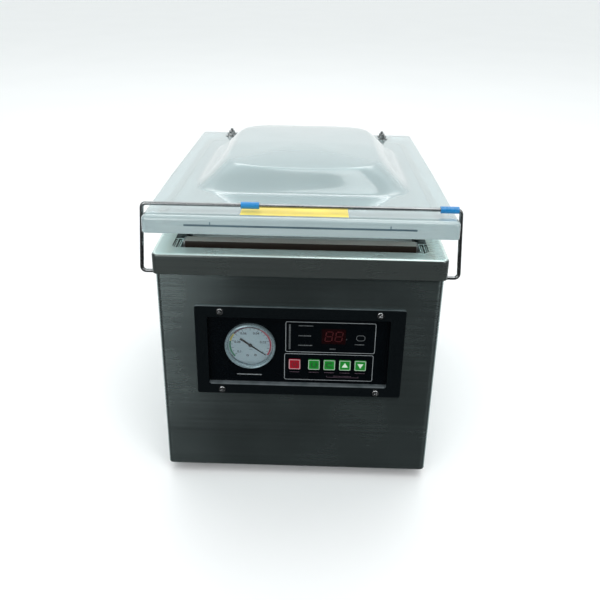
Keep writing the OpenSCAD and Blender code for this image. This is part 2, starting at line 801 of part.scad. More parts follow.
module pump_casing() {
    color([0.35, 0.42, 0.5]) difference() {
        union() {
            span([pump_x0, pump_y - 50, zb + 18], [pump_x0 + pump_l, pump_y + 50, pump_z + 46]);
            rod_z([port_x, pump_y, pump_z + 45], 24, 5);
            rod_z([port_x, pump_y, pump_z + 45], barb_d, 22);
            span([pump_x0 + 12, pump_y - 46, zb + 11.5],
                 [pump_x0 + pump_l - 12, pump_y + 46, zb + 19]);
        }
        rod_x([pump_x0 + 9, pump_y, pump_z + 3.5], vane_bore, pump_l - 18);
        rod_x([pump_x0 - 1, pump_y, pump_z], shaft_d + 0.6, pump_l - 3);
        rod_z([port_x, pump_y, pump_z + 20], 7, 50);
    }
}

module oil_case() {
    y0 = pump_y + 50.2;
    x0 = pump_x0 + 4;
    color([0.3, 0.36, 0.42]) difference() {
        union() {
            span([x0, y0, zb + 20], [x0 + 72, y0 + 54, zb + 150]);
            rod_z([x0 + 20, y0 + 27, zb + 149], 26, 14);
        }
        span([x0 + 4, y0 + 4, zb + 24], [x0 + 68, y0 + 50, zb + 146]);
        rod_x([x0 + 60, y0 + 27, zb + 60], 18, 20);
    }
    color("gold") rod_x([x0 + 66, y0 + 27, zb + 60], 17.8, 7);
}

module pump_mounts() {
    color(rubber) for (x = [motor_x0 + 30, pump_x0 + pump_l - 20], y = [-38, 38])
        rod_z([x, pump_y + y, zb + 1.5], 18, 10);
}

module valve_block() {
    y0 = pump_y - 12;
    y1 = port_y + 13;
    color([0.75, 0.76, 0.78]) difference() {
        span([-70, y0, block_z0], [port_x + 14, y1, block_z1]);
        rod_x([gauge_x - 4, coil_y, channel_z], 8, port_x - gauge_x + 8);
        rod_y([port_x, pump_y - 6, channel_z], 8, port_y - pump_y + 10);
        rod_z([port_x, port_y, channel_z], 7.8, 20);
        rod_z([port_x, pump_y, block_z0 - 1], 7.8, 14);
        rod_y([gauge_x, y0 - 1, channel_z], 4, 20);
    }
    color("goldenrod") difference() {
        rod_z([port_x, pump_y, block_z0 - 16], barb_d, 16);
        rod_z([port_x, pump_y, block_z0 - 17], 7, 18);
    }
}

module valve_coils() {
    y = coil_y;
    color([0.15, 0.16, 0.2]) for (x = [-46, -8]) difference() {
        union() {
            span([x - 15, y - 16, block_z0 - 42], [x + 15, y + 16, block_z0]);
            rod_z([x, y, block_z0 - 50], 10, 10);
        }
        rod_z([x, y, block_z0 - 38], 9, 40);
    }
}

module vacuum_hose() {
    color([0.2, 0.2, 0.22]) difference() {
        rod_z([port_x, pump_y, pump_z + 50], 20, block_z0 - 2 - pump_z - 50);
        rod_z([port_x, pump_y, pump_z + 40], barb_d + 0.2, block_z0 - pump_z);
    }
}

module gauge_tube() {
    stem = [gauge_x, field_y + gauge_in + gauge_stem, gauge_z];
    color([0.75, 0.45, 0.3]) pipe([
        stem, [gauge_x, pump_y - 40, gauge_z], [gauge_x, pump_y - 40, channel_z],
        [gauge_x, pump_y - 12, channel_z]
    ], 5, 10);
}

module transformer() {
    x0 = 60;
    y0 = front + 70;
    color(dark_steel) difference() {
        span([x0, y0, zb + 1.5], [x0 + 76, y0 + 56, zb + 66]);
        for (x = [12, 46]) span([x0 + x, y0 - 1, zb + 14], [x0 + x + 18, y0 + 57, zb + 54]);
    }
    color([0.8, 0.5, 0.2]) difference() {
        span([x0 + 13, y0 - 12, zb + 15], [x0 + 63, y0 + 68, zb + 53]);
        span([x0 + 29.5, y0 - 0.5, zb + 14], [x0 + 46.5, y0 + 56.5, zb + 54]);
    }
}

// ---------------------------------------------------------------- rear fittings

module cord_gland() {
    color(black) translate([gland_x, back, zb + rear_low]) rotate([-90, 0, 0]) difference() {
        union() {
            translate([0, 0, -12]) cylinder(d = 15.8, h = 20, $fn = round_fn);
            translate([0, 0, -8]) cylinder(d = 22, h = 5, $fn = 6);
            translate([0, 0, sheet]) cylinder(d = 22, h = 5, $fn = 6);
            translate([0, 0, sheet + 5]) cylinder(d = 19, h = gland_out - sheet - 12, $fn = round_fn);
            translate([0, 0, gland_out - 7]) cylinder(d1 = 19, d2 = 13, h = 7, $fn = round_fn);
        }
        translate([0, 0, -13]) cylinder(d = 8, h = gland_out + 14, $fn = round_fn);
    }
}

module switch_housing() {
    color(black) translate([rocker_x, back, zb + rear_low]) difference() {
        union() {
            span([-17, sheet, -13.5], [17, sheet + 2, 13.5]);
            span([-13, -20, -10], [13, sheet + 0.5, 10]);
        }
        span([-10.5, -8, -7.5], [10.5, 8, 7.5]);
        rod_z([0, 0.6, -9.5], 3, 19);
    }
}

module switch_rocker() {
    tilt = 8;
    color(black) translate([rocker_x, back + 0.6, zb + rear_low]) rotate([0, 0, tilt]) {
        translate([0, 0, -7.2]) linear_extrude(14.4)
            polygon([[-9.4, -2], [9.4, -2], [9.4, 3.2], [0, 2.2], [-9.4, 3.2]]);
        translate([0, 0, -9]) cylinder(d = 2.8, h = 18, $fn = round_fn);
    }
}

module lid_switch() {
    color(black) translate([switch_x, switch_y, rim_z - rim_t]) difference() {
        translate([-14, -5, -14]) cube([28, 10, 14]);
        translate([0, 0, -10]) cylinder(d = 4.8, h = 12, $fn = round_fn);
    }
}

module switch_plunger() {
    d = 4.2;
    stem = lid_gap - 0.1 + rim_t + 7.5 - d / 2;
    color("ivory") translate([switch_x, switch_y, rim_z - rim_t - 7.5]) {
        cylinder(d = d, h = stem, $fn = round_fn);
        translate([0, 0, stem]) sphere(d = d, $fn = round_fn);
    }
}

// ---------------------------------------------------------------- lid

// One closed level of the dome: a superellipse of half-sizes a and b
function level(a, b, n, z) = [
    for (i = [0 : dome_n - 1])
        let (c = cos(360 * i / dome_n), s = sin(360 * i / dome_n))
        [a * sign(c) * pow(abs(c), 2 / n), b * sign(s) * pow(abs(s), 2 / n), z]
];

// Height share and inward share of the dome's slope, from its flared foot to its shoulder
function rise(t) = t * t * (3 - 2 * t);
function shell_level(t, off) = level(
    dome_w / 2 - off - dome_lean_x * t, dome_l / 2 - off - dome_lean_y * t,
    dome_square - 1.2 * t, lid_z1 + (dome_h - dome_crown) * rise(t) - off * t
);
function band(r0, flip) = [
    for (i = [0 : dome_n - 1])
        let (a = r0 + i, b = r0 + (i + 1) % dome_n, c = b + dome_n, d = a + dome_n)
        flip ? [a, b, c, d] : [a, d, c, b]
];

module dome_shell() {
    k = dome_rise;
    outer = [for (j = [0 : k]) shell_level(j / k, 0)];
    inner = [for (j = [0 : k]) shell_level(j / k, dome_t)];
    base_in = level(dome_w / 2 - dome_t, dome_l / 2 - dome_t, dome_square, lid_z1 - 2);
    base_out = level(dome_w / 2, dome_l / 2, dome_square, lid_z1 - 2);
    rings = concat([base_out], outer, [base_in], inner);
    n = dome_n;
    points = concat(
        [for (r = rings) each r],
        [[0, 0, lid_z1 + dome_h], [0, 0, lid_z1 + dome_h - dome_t]]
    );
    apex = len(points) - 2;
    in0 = (k + 2) * n;
    top_out = (k + 1) * n;
    top_in = in0 + (k + 1) * n;
    faces = concat(
        [for (j = [0 : k]) each band(j * n, false)],
        [for (j = [0 : k]) each band(in0 + j * n, true)],
        [for (i = [0 : n - 1]) [i, (i + 1) % n, in0 + (i + 1) % n, in0 + i]],
        [for (i = [0 : n - 1]) [top_out + i, apex, top_out + (i + 1) % n]],
        [for (i = [0 : n - 1]) [top_in + i, top_in + (i + 1) % n, apex + 1]]
    );
    translate([0, dome_y, 0]) polyhedron(points, faces);
}

// Flat ring that the gasket follows
module gasket_ring(w) {
    cy = (gasket_y0 + gasket_y1) / 2;
    l = gasket_y1 - gasket_y0;
    translate([0, cy]) difference() {
        rounded(2 * gasket_x + w, l + w, 14 + w / 2);
        rounded(2 * gasket_x - w, l - w, 14 - w / 2);
    }
}

module lid_shell() {
    color(acrylic) at_lid() difference() {
        union() {
            difference() {
                translate([0, (lid_y0 + lid_y1) / 2, lid_z0]) linear_extrude(lid_t)
                    rounded(lid_w, lid_l, 3);
                translate([-lid_w, lid_y0 - 1, lid_z1 - lid_edge])
                    cube([2 * lid_w, lid_edge + 1, lid_edge + 1]);
                translate([0, dome_y, 0]) linear_extrude(lid_z1 + 10)
                    polygon([for (p = level(dome_w / 2 - dome_t, dome_l / 2 - dome_t, dome_square, 0))
                        [p.x, p.y]]);
            }
            rod_x([-lid_w / 2 + 3, lid_y0 + lid_edge, lid_z1 - lid_edge], 2 * lid_edge, lid_w - 6);
            dome_shell();
        }
        translate([0, 0, lid_z0 - 1]) linear_extrude(gasket_in + 1) gasket_ring(gasket_w);
        span([-counter_l / 2 - 1, bar_y - counter_w / 2 - 1, lid_z0 - 1],
             [counter_l / 2 + 1, bar_y + counter_w / 2 + 1, counter_z1]);
        for (x = [-1, 1], y = bolt_y) rod_z([x * hinge_x, y, lid_z0 - 1], bolt_hole, lid_t + 2);
        for (x = [-1, 1]) rod_z([x * lift_x, bar_y, lid_z0], 3.2, 18);
    }
}

module lid_gasket() {
    color(silicone) at_lid() translate([0, 0, lid_z0 - gasket_stand])
        linear_extrude(gasket_stand + gasket_in) gasket_ring(gasket_w);
}

module counter_channel() {
    l = counter_l / 2;
    color(steel) at_lid() difference() {
        span([-l, bar_y - counter_w / 2, counter_z0 - 1],
             [l, bar_y + counter_w / 2, counter_z1]);
        span([-l - 1, bar_y - counter_w / 2 + 1.5, counter_z0 - 3],
             [l + 1, bar_y + counter_w / 2 - 1.5, counter_z1 - 1.5]);
        for (x = [-1, 1]) rod_z([x * lift_x, bar_y, counter_z0], 3.4, 18);
    }
}

module counter_strip() {
    l = counter_l / 2;
    color([0.7, 0.25, 0.15]) at_lid() difference() {
        span([-l, bar_y - counter_w / 2 + 1.6, counter_z0 + 0.2],
             [l, bar_y + counter_w / 2 - 1.6, counter_z1 - 1.6]);
        for (x = [-1, 1]) rod_z([x * lift_x, bar_y, counter_z0 - 1], 6.4, 18);
    }
}

module counter_screws() {
    color(steel) at_lid() for (x = [-1, 1]) {
        rod_z([x * lift_x, bar_y, counter_z1 - 4], 6, 2.5);
        rod_z([x * lift_x, bar_y, counter_z1 - 2], 3, 6.5);
    }
}

module hinge_straps() {
    y0 = bolt_y[0] - 5;
    color(dark_steel) at_lid() for (s = [-1, 1]) translate([s * hinge_x, 0, 0]) difference() {
        union() {
            span([-strap_w / 2, y0, lid_z0 - strap_t], [strap_w / 2, hinge_y, lid_z0]);
            rod_x([-strap_w / 2, hinge_y, hinge_z], 14, strap_w);
        }
        rod_x([-strap_w, hinge_y, hinge_z], hinge_pin_d + 0.2, 2 * strap_w);
        for (y = bolt_y) rod_z([0, y, lid_z0 - 5], bolt_hole, 10);
    }
}

// Headless bolts that stand through the strap and the lid
module hinge_bolts() {
    color(steel) at_lid() for (s = [-1, 1], y = bolt_y)
        translate([s * hinge_x, y, lid_z0 - strap_t])
            cylinder(d = bolt_d, h = strap_t + lid_t + 9, $fn = 48);
}

module hinge_nuts() {
    washer_t = 1.2;
    color(steel) at_lid() for (s = [-1, 1], y = bolt_y)
        translate([s * hinge_x, y, lid_z1]) difference() {
            union() {
                cylinder(d = 15, h = washer_t, $fn = 48);
                translate([0, 0, washer_t]) cylinder(d = 9.2, h = 4, $fn = 6);
            }
            translate([0, 0, -1]) cylinder(d = bolt_d, h = 8, $fn = 48);
        }
}

module lid_label() {
    color([0.96, 0.91, 0.6]) at_lid()
        span([-65.5, lid_y0 + 9.5, lid_z1], [52, lid_y0 + 41, lid_z1 + 0.25]);
}

// ---------------------------------------------------------------- bail

module bail_wire() {
    w = bail_w / 2;
    r = bail_bend;
    inner = cab_w / 2 - 12;
    color(dark_steel) at_bail() {
        rod_x([-w + r, 0, bail_leg], wire_d, 2 * (w - r));
        for (s = [0, 1]) mirror([s, 0, 0]) {
            translate([w, 0, r]) cylinder(d = wire_d, h = bail_leg - 2 * r, $fn = round_fn);
            rod_x([inner, 0, 0], wire_d, w - r - inner);
            rod_x([inner + 1, 0, 0], 9, 1.5);
            translate([w - r, 0, bail_leg - r]) rotate([90, 0, 0])
                rotate_extrude(angle = 90, $fn = round_fn) translate([r, 0]) circle(d = wire_d, $fn = 32);
            translate([w - r, 0, r]) rotate([90, 90, 0])
                rotate_extrude(angle = 90, $fn = round_fn) translate([r, 0]) circle(d = wire_d, $fn = 32);
        }
    }
}

module bail_sleeves() {
    end = bail_w / 2 - bail_bend - 0.5;
    color([0.15, 0.55, 0.85]) at_bail() for (x = [sleeve_x, end - sleeve_l]) difference() {
        rod_x([x, 0, bail_leg], sleeve_d, sleeve_l);
        rod_x([x - 1, 0, bail_leg], wire_d + 0.1, sleeve_l + 2);
    }
}

// ---------------------------------------------------------------- seal bar

module seal_bar() {
    z0 = bar_z1 - 21;
    color([0.8, 0.8, 0.82]) span([-bar_l / 2, bar_y - bar_w / 2 + 1, z0],
        [bar_l / 2, bar_y + bar_w / 2 - 1, bar_z1 - tape_t]);
    color(steel) for (s = [-1, 1])
        translate([0, bar_y + s * (bar_w / 2 - 0.5), 0])
            span([-bar_l / 2 + 2, -0.5, z0 + 1], [bar_l / 2 - 2, 0.5, z0 + 9]);
}

// Tape over the top of the bar and down both its sides
module seal_tape() {
    color([0.62, 0.5, 0.36]) difference() {
        span([-bar_l / 2 + 2, bar_y - bar_w / 2 + 1 - tape_t, bar_z1 - 11],
             [bar_l / 2 - 2, bar_y + bar_w / 2 - 1 + tape_t, bar_z1]);
        span([-bar_l, bar_y - bar_w / 2 + 1, bar_z1 - 20],
             [bar_l, bar_y + bar_w / 2 - 1, bar_z1 - tape_t]);
    }
}

module lift_rods() {
    z1 = bar_z1 - 21;
    color(steel) for (s = [-1, 1]) translate([s * lift_x, bar_y, 0]) {
        rod_z([0, 0, z1 - 67], 8, 67);
        rod_z([0, 0, z1 - 72], 23.4, 6);
    }
}

// ---------------------------------------------------------------- nodes

cabinet_shell();
rear_panel();
rear_screws();
base_plate();
feet();
foot_screws();
chamber_pan();
filler_plate();
bar_guides();
lift_cylinders();
vacuum_port();
hinge_bases();
hinge_pins();
lid_springs();
bail_bushes();
panel_frame();
panel_overlay();
panel_screws();
display_lens();
control_board();
gauge_case();
gauge_bezel();
gauge_dial();
gauge_lens();
gauge_needle();
key(0, "crimson");  // stop_key
key(1, "green");  // vacuum_key
key(2, "green");  // set_key
key(3, "green");  // up_key
key(4, "green");  // down_key
pump_motor();
fan_cowl();
motor_rotor();
pump_casing();
oil_case();
pump_mounts();
valve_block();
valve_coils();
vacuum_hose();
gauge_tube();
transformer();
cord_gland();
switch_housing();
switch_rocker();
lid_switch();
switch_plunger();
lid_shell();
lid_gasket();
counter_channel();
counter_strip();
counter_screws();
hinge_straps();
hinge_bolts();
hinge_nuts();
lid_label();
bail_wire();
bail_sleeves();
seal_bar();
seal_tape();
lift_rods();
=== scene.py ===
"""Looks for a desktop chamber vacuum packing machine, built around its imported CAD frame.

Metres, with X to the right, Y to the back and Z up. Sizes and places come from the frame's boxes;
what has no CAD node, such as printing and threads, is placed from the node that it is on.
"""
import json
import math
import random

import bmesh
import bpy
from mathutils import Matrix, Vector


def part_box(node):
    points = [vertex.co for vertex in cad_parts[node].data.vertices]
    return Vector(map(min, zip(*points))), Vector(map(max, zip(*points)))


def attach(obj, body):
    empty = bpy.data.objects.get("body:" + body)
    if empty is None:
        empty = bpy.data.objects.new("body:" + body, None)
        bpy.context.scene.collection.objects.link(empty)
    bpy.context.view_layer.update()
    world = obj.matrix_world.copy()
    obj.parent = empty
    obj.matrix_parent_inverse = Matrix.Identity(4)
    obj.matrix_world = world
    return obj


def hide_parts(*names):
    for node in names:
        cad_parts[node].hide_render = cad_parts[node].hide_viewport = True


MM = 0.001

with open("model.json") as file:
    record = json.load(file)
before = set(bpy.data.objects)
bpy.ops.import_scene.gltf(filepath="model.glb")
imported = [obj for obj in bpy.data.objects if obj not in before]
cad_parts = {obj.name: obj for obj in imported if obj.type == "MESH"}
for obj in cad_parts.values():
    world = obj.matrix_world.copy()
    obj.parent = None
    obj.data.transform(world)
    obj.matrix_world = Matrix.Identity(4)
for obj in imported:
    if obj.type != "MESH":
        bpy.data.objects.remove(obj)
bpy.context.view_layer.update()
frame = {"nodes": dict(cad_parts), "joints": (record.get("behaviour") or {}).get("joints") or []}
nodes = frame["nodes"]
joints = {j["name"]: j for j in frame["joints"]}


def middle(node):
    low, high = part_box(node)
    return (low + high) / 2


# ---------------------------------------------------------------- camera and studio

CAMERA_PLACE = (0.0132, -0.9265, 0.6208)
CAMERA_DOWN = 23.43
CAMERA_TURN = 1.08
CAMERA_ROLL = 0.96


def make_camera():
    """The camera stands in front of the machine and above it, and looks down at it."""
    data = bpy.data.cameras.new("camera")
    data.sensor_width = 36
    data.lens = 41.74
    data.shift_y = -0.0917
    data.clip_end = 100
    camera = bpy.data.objects.new("camera", data)
    turn = Matrix.Rotation(math.radians(CAMERA_TURN), 4, "Z")
    pitch = Matrix.Rotation(math.radians(90 - CAMERA_DOWN), 4, "X")
    roll = Matrix.Rotation(math.radians(CAMERA_ROLL), 4, "Z")
    camera.matrix_world = Matrix.Translation(CAMERA_PLACE) @ turn @ pitch @ roll
    bpy.context.scene.collection.objects.link(camera)
    bpy.context.scene.camera = camera


def area_light(name, place, aim, size, power):
    data = bpy.data.lights.new(name, "AREA")
    data.shape = "RECTANGLE"
    data.size, data.size_y = size
    data.energy = power
    light = bpy.data.objects.new(name, data)
    light.location = place
    light.rotation_euler = (Vector(aim) - Vector(place)).to_track_quat("-Z", "Y").to_euler()
    light.visible_camera = False
    bpy.context.scene.collection.objects.link(light)


def make_world():
    """Surroundings that are bright behind and above the machine and dim in front of it."""
    world = bpy.data.worlds.new("studio")
    bpy.context.scene.world = world
    world.use_nodes = True
    tree = world.node_tree
    direction = tree.nodes.new("ShaderNodeTexCoord")
    split = tree.nodes.new("ShaderNodeSeparateXYZ")
    tree.links.new(direction.outputs["Generated"], split.inputs["Vector"])
    ramp = tree.nodes.new("ShaderNodeValToRGB")
    shift = tree.nodes.new("ShaderNodeMapRange")
    shift.inputs["From Min"].default_value = -1
    shift.inputs["From Max"].default_value = 1
    tree.links.new(split.outputs["Y"], shift.inputs["Value"])
    tree.links.new(shift.outputs["Result"], ramp.inputs["Fac"])
    stops = ((0.0, 0.03), (0.45, 0.06), (0.6, 0.3), (0.7, 1.0))
    while len(ramp.color_ramp.elements) < len(stops):
        ramp.color_ramp.elements.new(0.5)
    for element, (at, level) in zip(ramp.color_ramp.elements, stops):
        element.position = at
        element.color = (level * 0.96, level, level, 1)
    background = tree.nodes["Background"]
    tree.links.new(ramp.outputs["Color"], background.inputs["Color"])
    background.inputs["Strength"].default_value = 0.95
    overhead = tree.nodes.new("ShaderNodeMapRange")
    overhead.inputs["From Min"].default_value = 0.55
    overhead.inputs["From Max"].default_value = 0.9
    overhead.inputs["To Max"].default_value = 1.15
    tree.links.new(split.outputs["Z"], overhead.inputs["Value"])
    sky = tree.nodes.new("ShaderNodeBackground")
    sky.inputs["Color"].default_value = (0.96, 1, 1, 1)
    tree.links.new(overhead.outputs["Result"], sky.inputs["Strength"])
    both = tree.nodes.new("ShaderNodeAddShader")
    tree.links.new(background.outputs["Background"], both.inputs[0])
    tree.links.new(sky.outputs["Background"], both.inputs[1])
    tree.links.new(both.outputs["Shader"], tree.nodes["World Output"].inputs["Surface"])


def make_studio():
    """Five broad lights: behind, front left, overhead and one at each side, over a pale floor."""
    make_world()
    area_light("ceiling", (0, 1.5, 2.5), (0, 0, 0.2), (2.6, 1.2), 16)
    area_light("key", (-0.9, -2.4, 0.9), (0, -0.2, 0.2), (0.9, 1.4), 11)
    area_light("overhead", (0.4, -0.9, 2.0), (0, 0, 0.35), (0.7, 1.4), 7)
    area_light("fill_left", (-1.5, -1.9, 1.3), (0, -0.2, 0.25), (1, 1), 12)
    area_light("fill_right", (1.5, -1.9, 1.3), (0, -0.2, 0.25), (1, 1), 14)
    bpy.context.scene.view_settings.view_transform = "Standard"

    floor_mesh = bpy.data.meshes.new("floor")
    reach = 40
    floor_mesh.from_pydata([(-reach, -reach, 0), (reach, -reach, 0), (reach, reach, 0),
                            (-reach, reach, 0)], [], [(0, 1, 2, 3)])
    floor = bpy.data.objects.new("floor", floor_mesh)
    # The steel in front stays dark because the pale floor is left out of all reflections.
    floor.visible_glossy = False
    bpy.context.scene.collection.objects.link(floor)
    floor.data.materials.append(plain_floor())


# ---------------------------------------------------------------- material helpers

class Paint:
    """A material's node tree, with short ways to add and link nodes."""

    def __init__(self, name):
        self.material = bpy.data.materials.new(name)
        self.material.use_nodes = True
        self.tree = self.material.node_tree
        self.shader = self.tree.nodes["Principled BSDF"]

    def add(self, kind, **values):
        node = self.tree.nodes.new(kind)
        for key, value in values.items():
            setattr(node, key, value)
        return node

    def link(self, start, end):
        self.tree.links.new(start, end)

    def set(self, **values):
        for key, value in values.items():
            socket = self.shader.inputs[key.replace("_", " ")]
            socket.default_value = (*value, 1) if isinstance(value, tuple) else value

    def place(self, scale=(1, 1, 1)):
        """The object's own coordinates, in metres, scaled."""
        coordinates = self.add("ShaderNodeTexCoord")
        mapping = self.add("ShaderNodeMapping")
        mapping.inputs["Scale"].default_value = scale
        self.link(coordinates.outputs["Object"], mapping.inputs["Vector"])
        return mapping.outputs["Vector"]

    def noise(self, scale, detail=3, where=None, rough=0.5):
        node = self.add("ShaderNodeTexNoise")
        node.inputs["Scale"].default_value = scale
        node.inputs["Detail"].default_value = detail
        node.inputs["Roughness"].default_value = rough
        self.link(where or self.place(), node.inputs["Vector"])
        return node.outputs["Fac"]

    def spread(self, value, low, high, start=0.35, end=0.65):
        """Maps a noise value onto a range."""
        node = self.add("ShaderNodeMapRange")
        node.inputs["From Min"].default_value = start
        node.inputs["From Max"].default_value = end
        node.inputs["To Min"].default_value = low
        node.inputs["To Max"].default_value = high
        self.link(value, node.inputs["Value"])
        return node.outputs["Result"]

    def ramp(self, value, *stops):
        node = self.add("ShaderNodeValToRGB")
        elements = node.color_ramp.elements
        while len(elements) < len(stops):
            elements.new(0.5)
        for element, (at, colour) in zip(elements, stops):
            element.position = at
            element.color = (*colour, 1)
        self.link(value, node.inputs["Fac"])
        return node.outputs["Color"]

    def mix(self, share, first, second):
        node = self.add("ShaderNodeMix", data_type="RGBA")
        self.link(share, node.inputs["Factor"])
        for socket, value in ((node.inputs["A"], first), (node.inputs["B"], second)):
            if isinstance(value, tuple):
                socket.default_value = (*value, 1)
            else:
                self.link(value, socket)
        return node.outputs["Result"]

    def maths(self, operation, first, second):
        node = self.add("ShaderNodeMath", operation=operation)
        for socket, value in zip(node.inputs, (first, second)):
            if isinstance(value, (int, float)):
                socket.default_value = value
            else:
                self.link(value, socket)
        return node.outputs[0]

    def bump(self, height, strength, distance):
        node = self.add("ShaderNodeBump")
        node.inputs["Strength"].default_value = strength
        node.inputs["Distance"].default_value = distance
        self.link(height, node.inputs["Height"])
        self.link(node.outputs["Normal"], self.shader.inputs["Normal"])

    def colour(self, socket):
        self.link(socket, self.shader.inputs["Base Color"])

    def roughness(self, socket):
        self.link(socket, self.shader.inputs["Roughness"])


def shades(colour, *factors):
    """The colour made lighter or darker."""
    return [tuple(min(1, c * f) for c in colour) for f in factors]


def plain_floor():
    paint = Paint("floor_paint")
    dark, light = shades((0.93, 0.935, 0.94), 0.985, 1)
    paint.colour(paint.ramp(paint.noise(3, 4), (0.3, dark), (0.7, light)))
    paint.set(Roughness=0.6)
    return paint.material


def brushed(name, colour, rough=0.3, aniso=0.85, top=1.0, metallic=1.0):
    """Steel with a fine grain: level on upright faces, and along X on faces that look up. Faces that look
    up take the colour times top, which paints them lighter: painted light from above.
    """
    paint = Paint(name)
    paint.set(Metallic=metallic, Anisotropic=aniso)
    upright = paint.noise(1, 2, paint.place((2.5, 2.5, 500)), 0.5)
    flat = paint.noise(1, 2, paint.place((2.5, 500, 2.5)), 0.5)
    normal = paint.add("ShaderNodeNewGeometry").outputs["Normal"]
    split = paint.add("ShaderNodeSeparateXYZ")
    paint.link(normal, split.inputs["Vector"])
    looks_up = paint.spread(paint.maths("ABSOLUTE", split.outputs["Z"], 0), 0, 1, 0.5, 0.8)
    streaks = paint.add("ShaderNodeMix", data_type="FLOAT")
    paint.link(looks_up, streaks.inputs["Factor"])
    paint.link(upright, streaks.inputs["A"])
    paint.link(flat, streaks.inputs["B"])
    lines = streaks.outputs["Result"]
    cloud = paint.noise(9, 3)
    dark, mid, light = shades(colour, 0.93, 1, 1.06)
    tone = paint.ramp(lines, (0.3, dark), (0.5, mid), (0.7, light))
    dull = paint.mix(paint.spread(cloud, 0, 0.4), tone, tuple(c * 0.88 for c in colour))
    # Painted light: faces that look up take the colour times top, so a top above 1 paints them lighter
    # than the upright faces.
    paint.colour(paint.mix(looks_up, dull, tuple(min(1, c * top) for c in colour)))
    paint.roughness(paint.maths("ADD", paint.spread(lines, -0.01, 0.01),
                                paint.spread(cloud, rough - 0.03, rough + 0.03)))
    across = paint.add("ShaderNodeCombineXYZ")
    paint.link(looks_up, across.inputs["Y"])
    paint.link(paint.maths("SUBTRACT", 1, looks_up), across.inputs["Z"])
    paint.link(across.outputs["Vector"], paint.shader.inputs["Tangent"])
    return paint.material


def metal(name, colour, rough=0.25, scale=900, depth=0.01, metallic=1.0):
    """Plain metal, a little uneven: plated, drawn or cast."""
    paint = Paint(name)
    paint.set(Metallic=metallic)
    grain = paint.noise(scale, 3)
    cloud = paint.noise(40, 3)
    dark, light = shades(colour, 0.8, 1.08)
    paint.colour(paint.ramp(cloud, (0.3, dark), (0.7, light)))
    paint.roughness(paint.spread(grain, rough - 0.06, rough + 0.08))
    paint.bump(grain, 0.2, depth * MM)
    return paint.material


def plastic(name, colour, rough=0.4, scale=700, depth=0.02, coat=0.0, vary=0.12, shine=0.5):
    """Moulded, painted or filmed: colour a little uneven, with a fine texture."""
    paint = Paint(name)
    grain = paint.noise(scale, 2)
    cloud = paint.noise(25, 4)
    dark, light = shades(colour, 1 - vary, 1 + vary)
    paint.colour(paint.ramp(cloud, (0.3, dark), (0.7, light)))
    paint.roughness(paint.maths("ADD", paint.spread(grain, -0.04, 0.04),
                                paint.spread(cloud, rough - 0.04, rough + 0.06)))
    paint.bump(grain, 0.25, depth * MM)
    paint.set(Coat_Weight=coat, Coat_Roughness=0.06, Specular_IOR_Level=shine)
    return paint.material


def acrylic():
    """Thick cast acrylic, milky from its film, with clear reflections."""
    paint = Paint("acrylic")
    paint.set(IOR=1.49, Transmission_Weight=0.5, Coat_Weight=1.0, Coat_Roughness=0.03)
    cloud = paint.noise(6, 4)
    smear = paint.noise(30, 5, paint.place((1, 3, 3)))
    paint.colour(paint.ramp(cloud, (0.25, (0.53, 0.66, 0.68)), (0.75, (0.61, 0.74, 0.76))))
    paint.roughness(paint.spread(smear, 0.1, 0.18))
    paint.bump(paint.noise(45, 2), 0.15, 0.05 * MM)
    return paint.material


def panel_coat():
    """Black paint, with the faces that look up painted paler grey: painted light from above."""
    paint = Paint("panel_coat")
    split = paint.add("ShaderNodeSeparateXYZ")
    paint.link(paint.add("ShaderNodeNewGeometry").outputs["Normal"], split.inputs["Vector"])
    grain = paint.noise(1400, 2)
    black = paint.ramp(grain, (0.3, (0.0015, 0.003, 0.004)), (0.7, (0.003, 0.005, 0.006)))
    # Painted light: a paler grey mixed in on the faces that look up.
    painted_ledge_light = paint.ramp(paint.noise(60, 4), (0.3, (0.05, 0.065, 0.07)), (0.7, (0.12, 0.14, 0.15)))
    paint.colour(paint.mix(paint.spread(split.outputs["Z"], 0, 1, 0.3, 0.8), black, painted_ledge_light))
    paint.roughness(paint.spread(grain, 0.27, 0.34))
    paint.bump(grain, 0.2, 0.02 * MM)
    paint.set(Specular_IOR_Level=0.16)
    return paint.material


def coated_cloth():
    """Pale on its top face and black-brown down its sides, by which way each face looks: the dark sides
    are painted shade, where the bar stands in the slot.
    """
    paint = Paint("coated_cloth")
    split = paint.add("ShaderNodeSeparateXYZ")
    paint.link(paint.add("ShaderNodeNewGeometry").outputs["Normal"], split.inputs["Vector"])
    weave = paint.noise(1500, 2)
    # Painted shade: faces that look sideways are near-black brown.
    side = paint.ramp(weave, (0.3, (0.014, 0.01, 0.007)), (0.7, (0.024, 0.017, 0.012)))
    top = paint.ramp(weave, (0.3, (0.55, 0.58, 0.54)), (0.7, (0.66, 0.69, 0.64)))
    paint.colour(paint.mix(paint.spread(split.outputs["Z"], 0, 1, 0.4, 0.7), side, top))
    paint.roughness(paint.spread(weave, 0.35, 0.5))
    paint.bump(weave, 0.3, 0.05 * MM)
    return paint.material


def glass():
    paint = Paint("gauge_glass")
    paint.set(IOR=1.45, Transmission_Weight=1.0)
    paint.roughness(paint.spread(paint.noise(60, 4), 0.0, 0.05))
    paint.colour(paint.ramp(paint.noise(20, 2), (0.3, (0.93, 0.96, 0.98)), (0.7, (0.97, 0.99, 1))))
    return paint.material


def glow(name, colour, strength):
    """Lit segments, brighter and dimmer along their length."""
    paint = Paint(name)
    cloud = paint.noise(200, 2)
    dark, light = shades(colour, 0.7, 1)
    tone = paint.ramp(cloud, (0.3, dark), (0.7, light))
    paint.colour(tone)
    paint.link(tone, paint.shader.inputs["Emission Color"])
    paint.set(Emission_Strength=strength, Roughness=0.4)
    return paint.material


# ---------------------------------------------------------------- mesh helpers

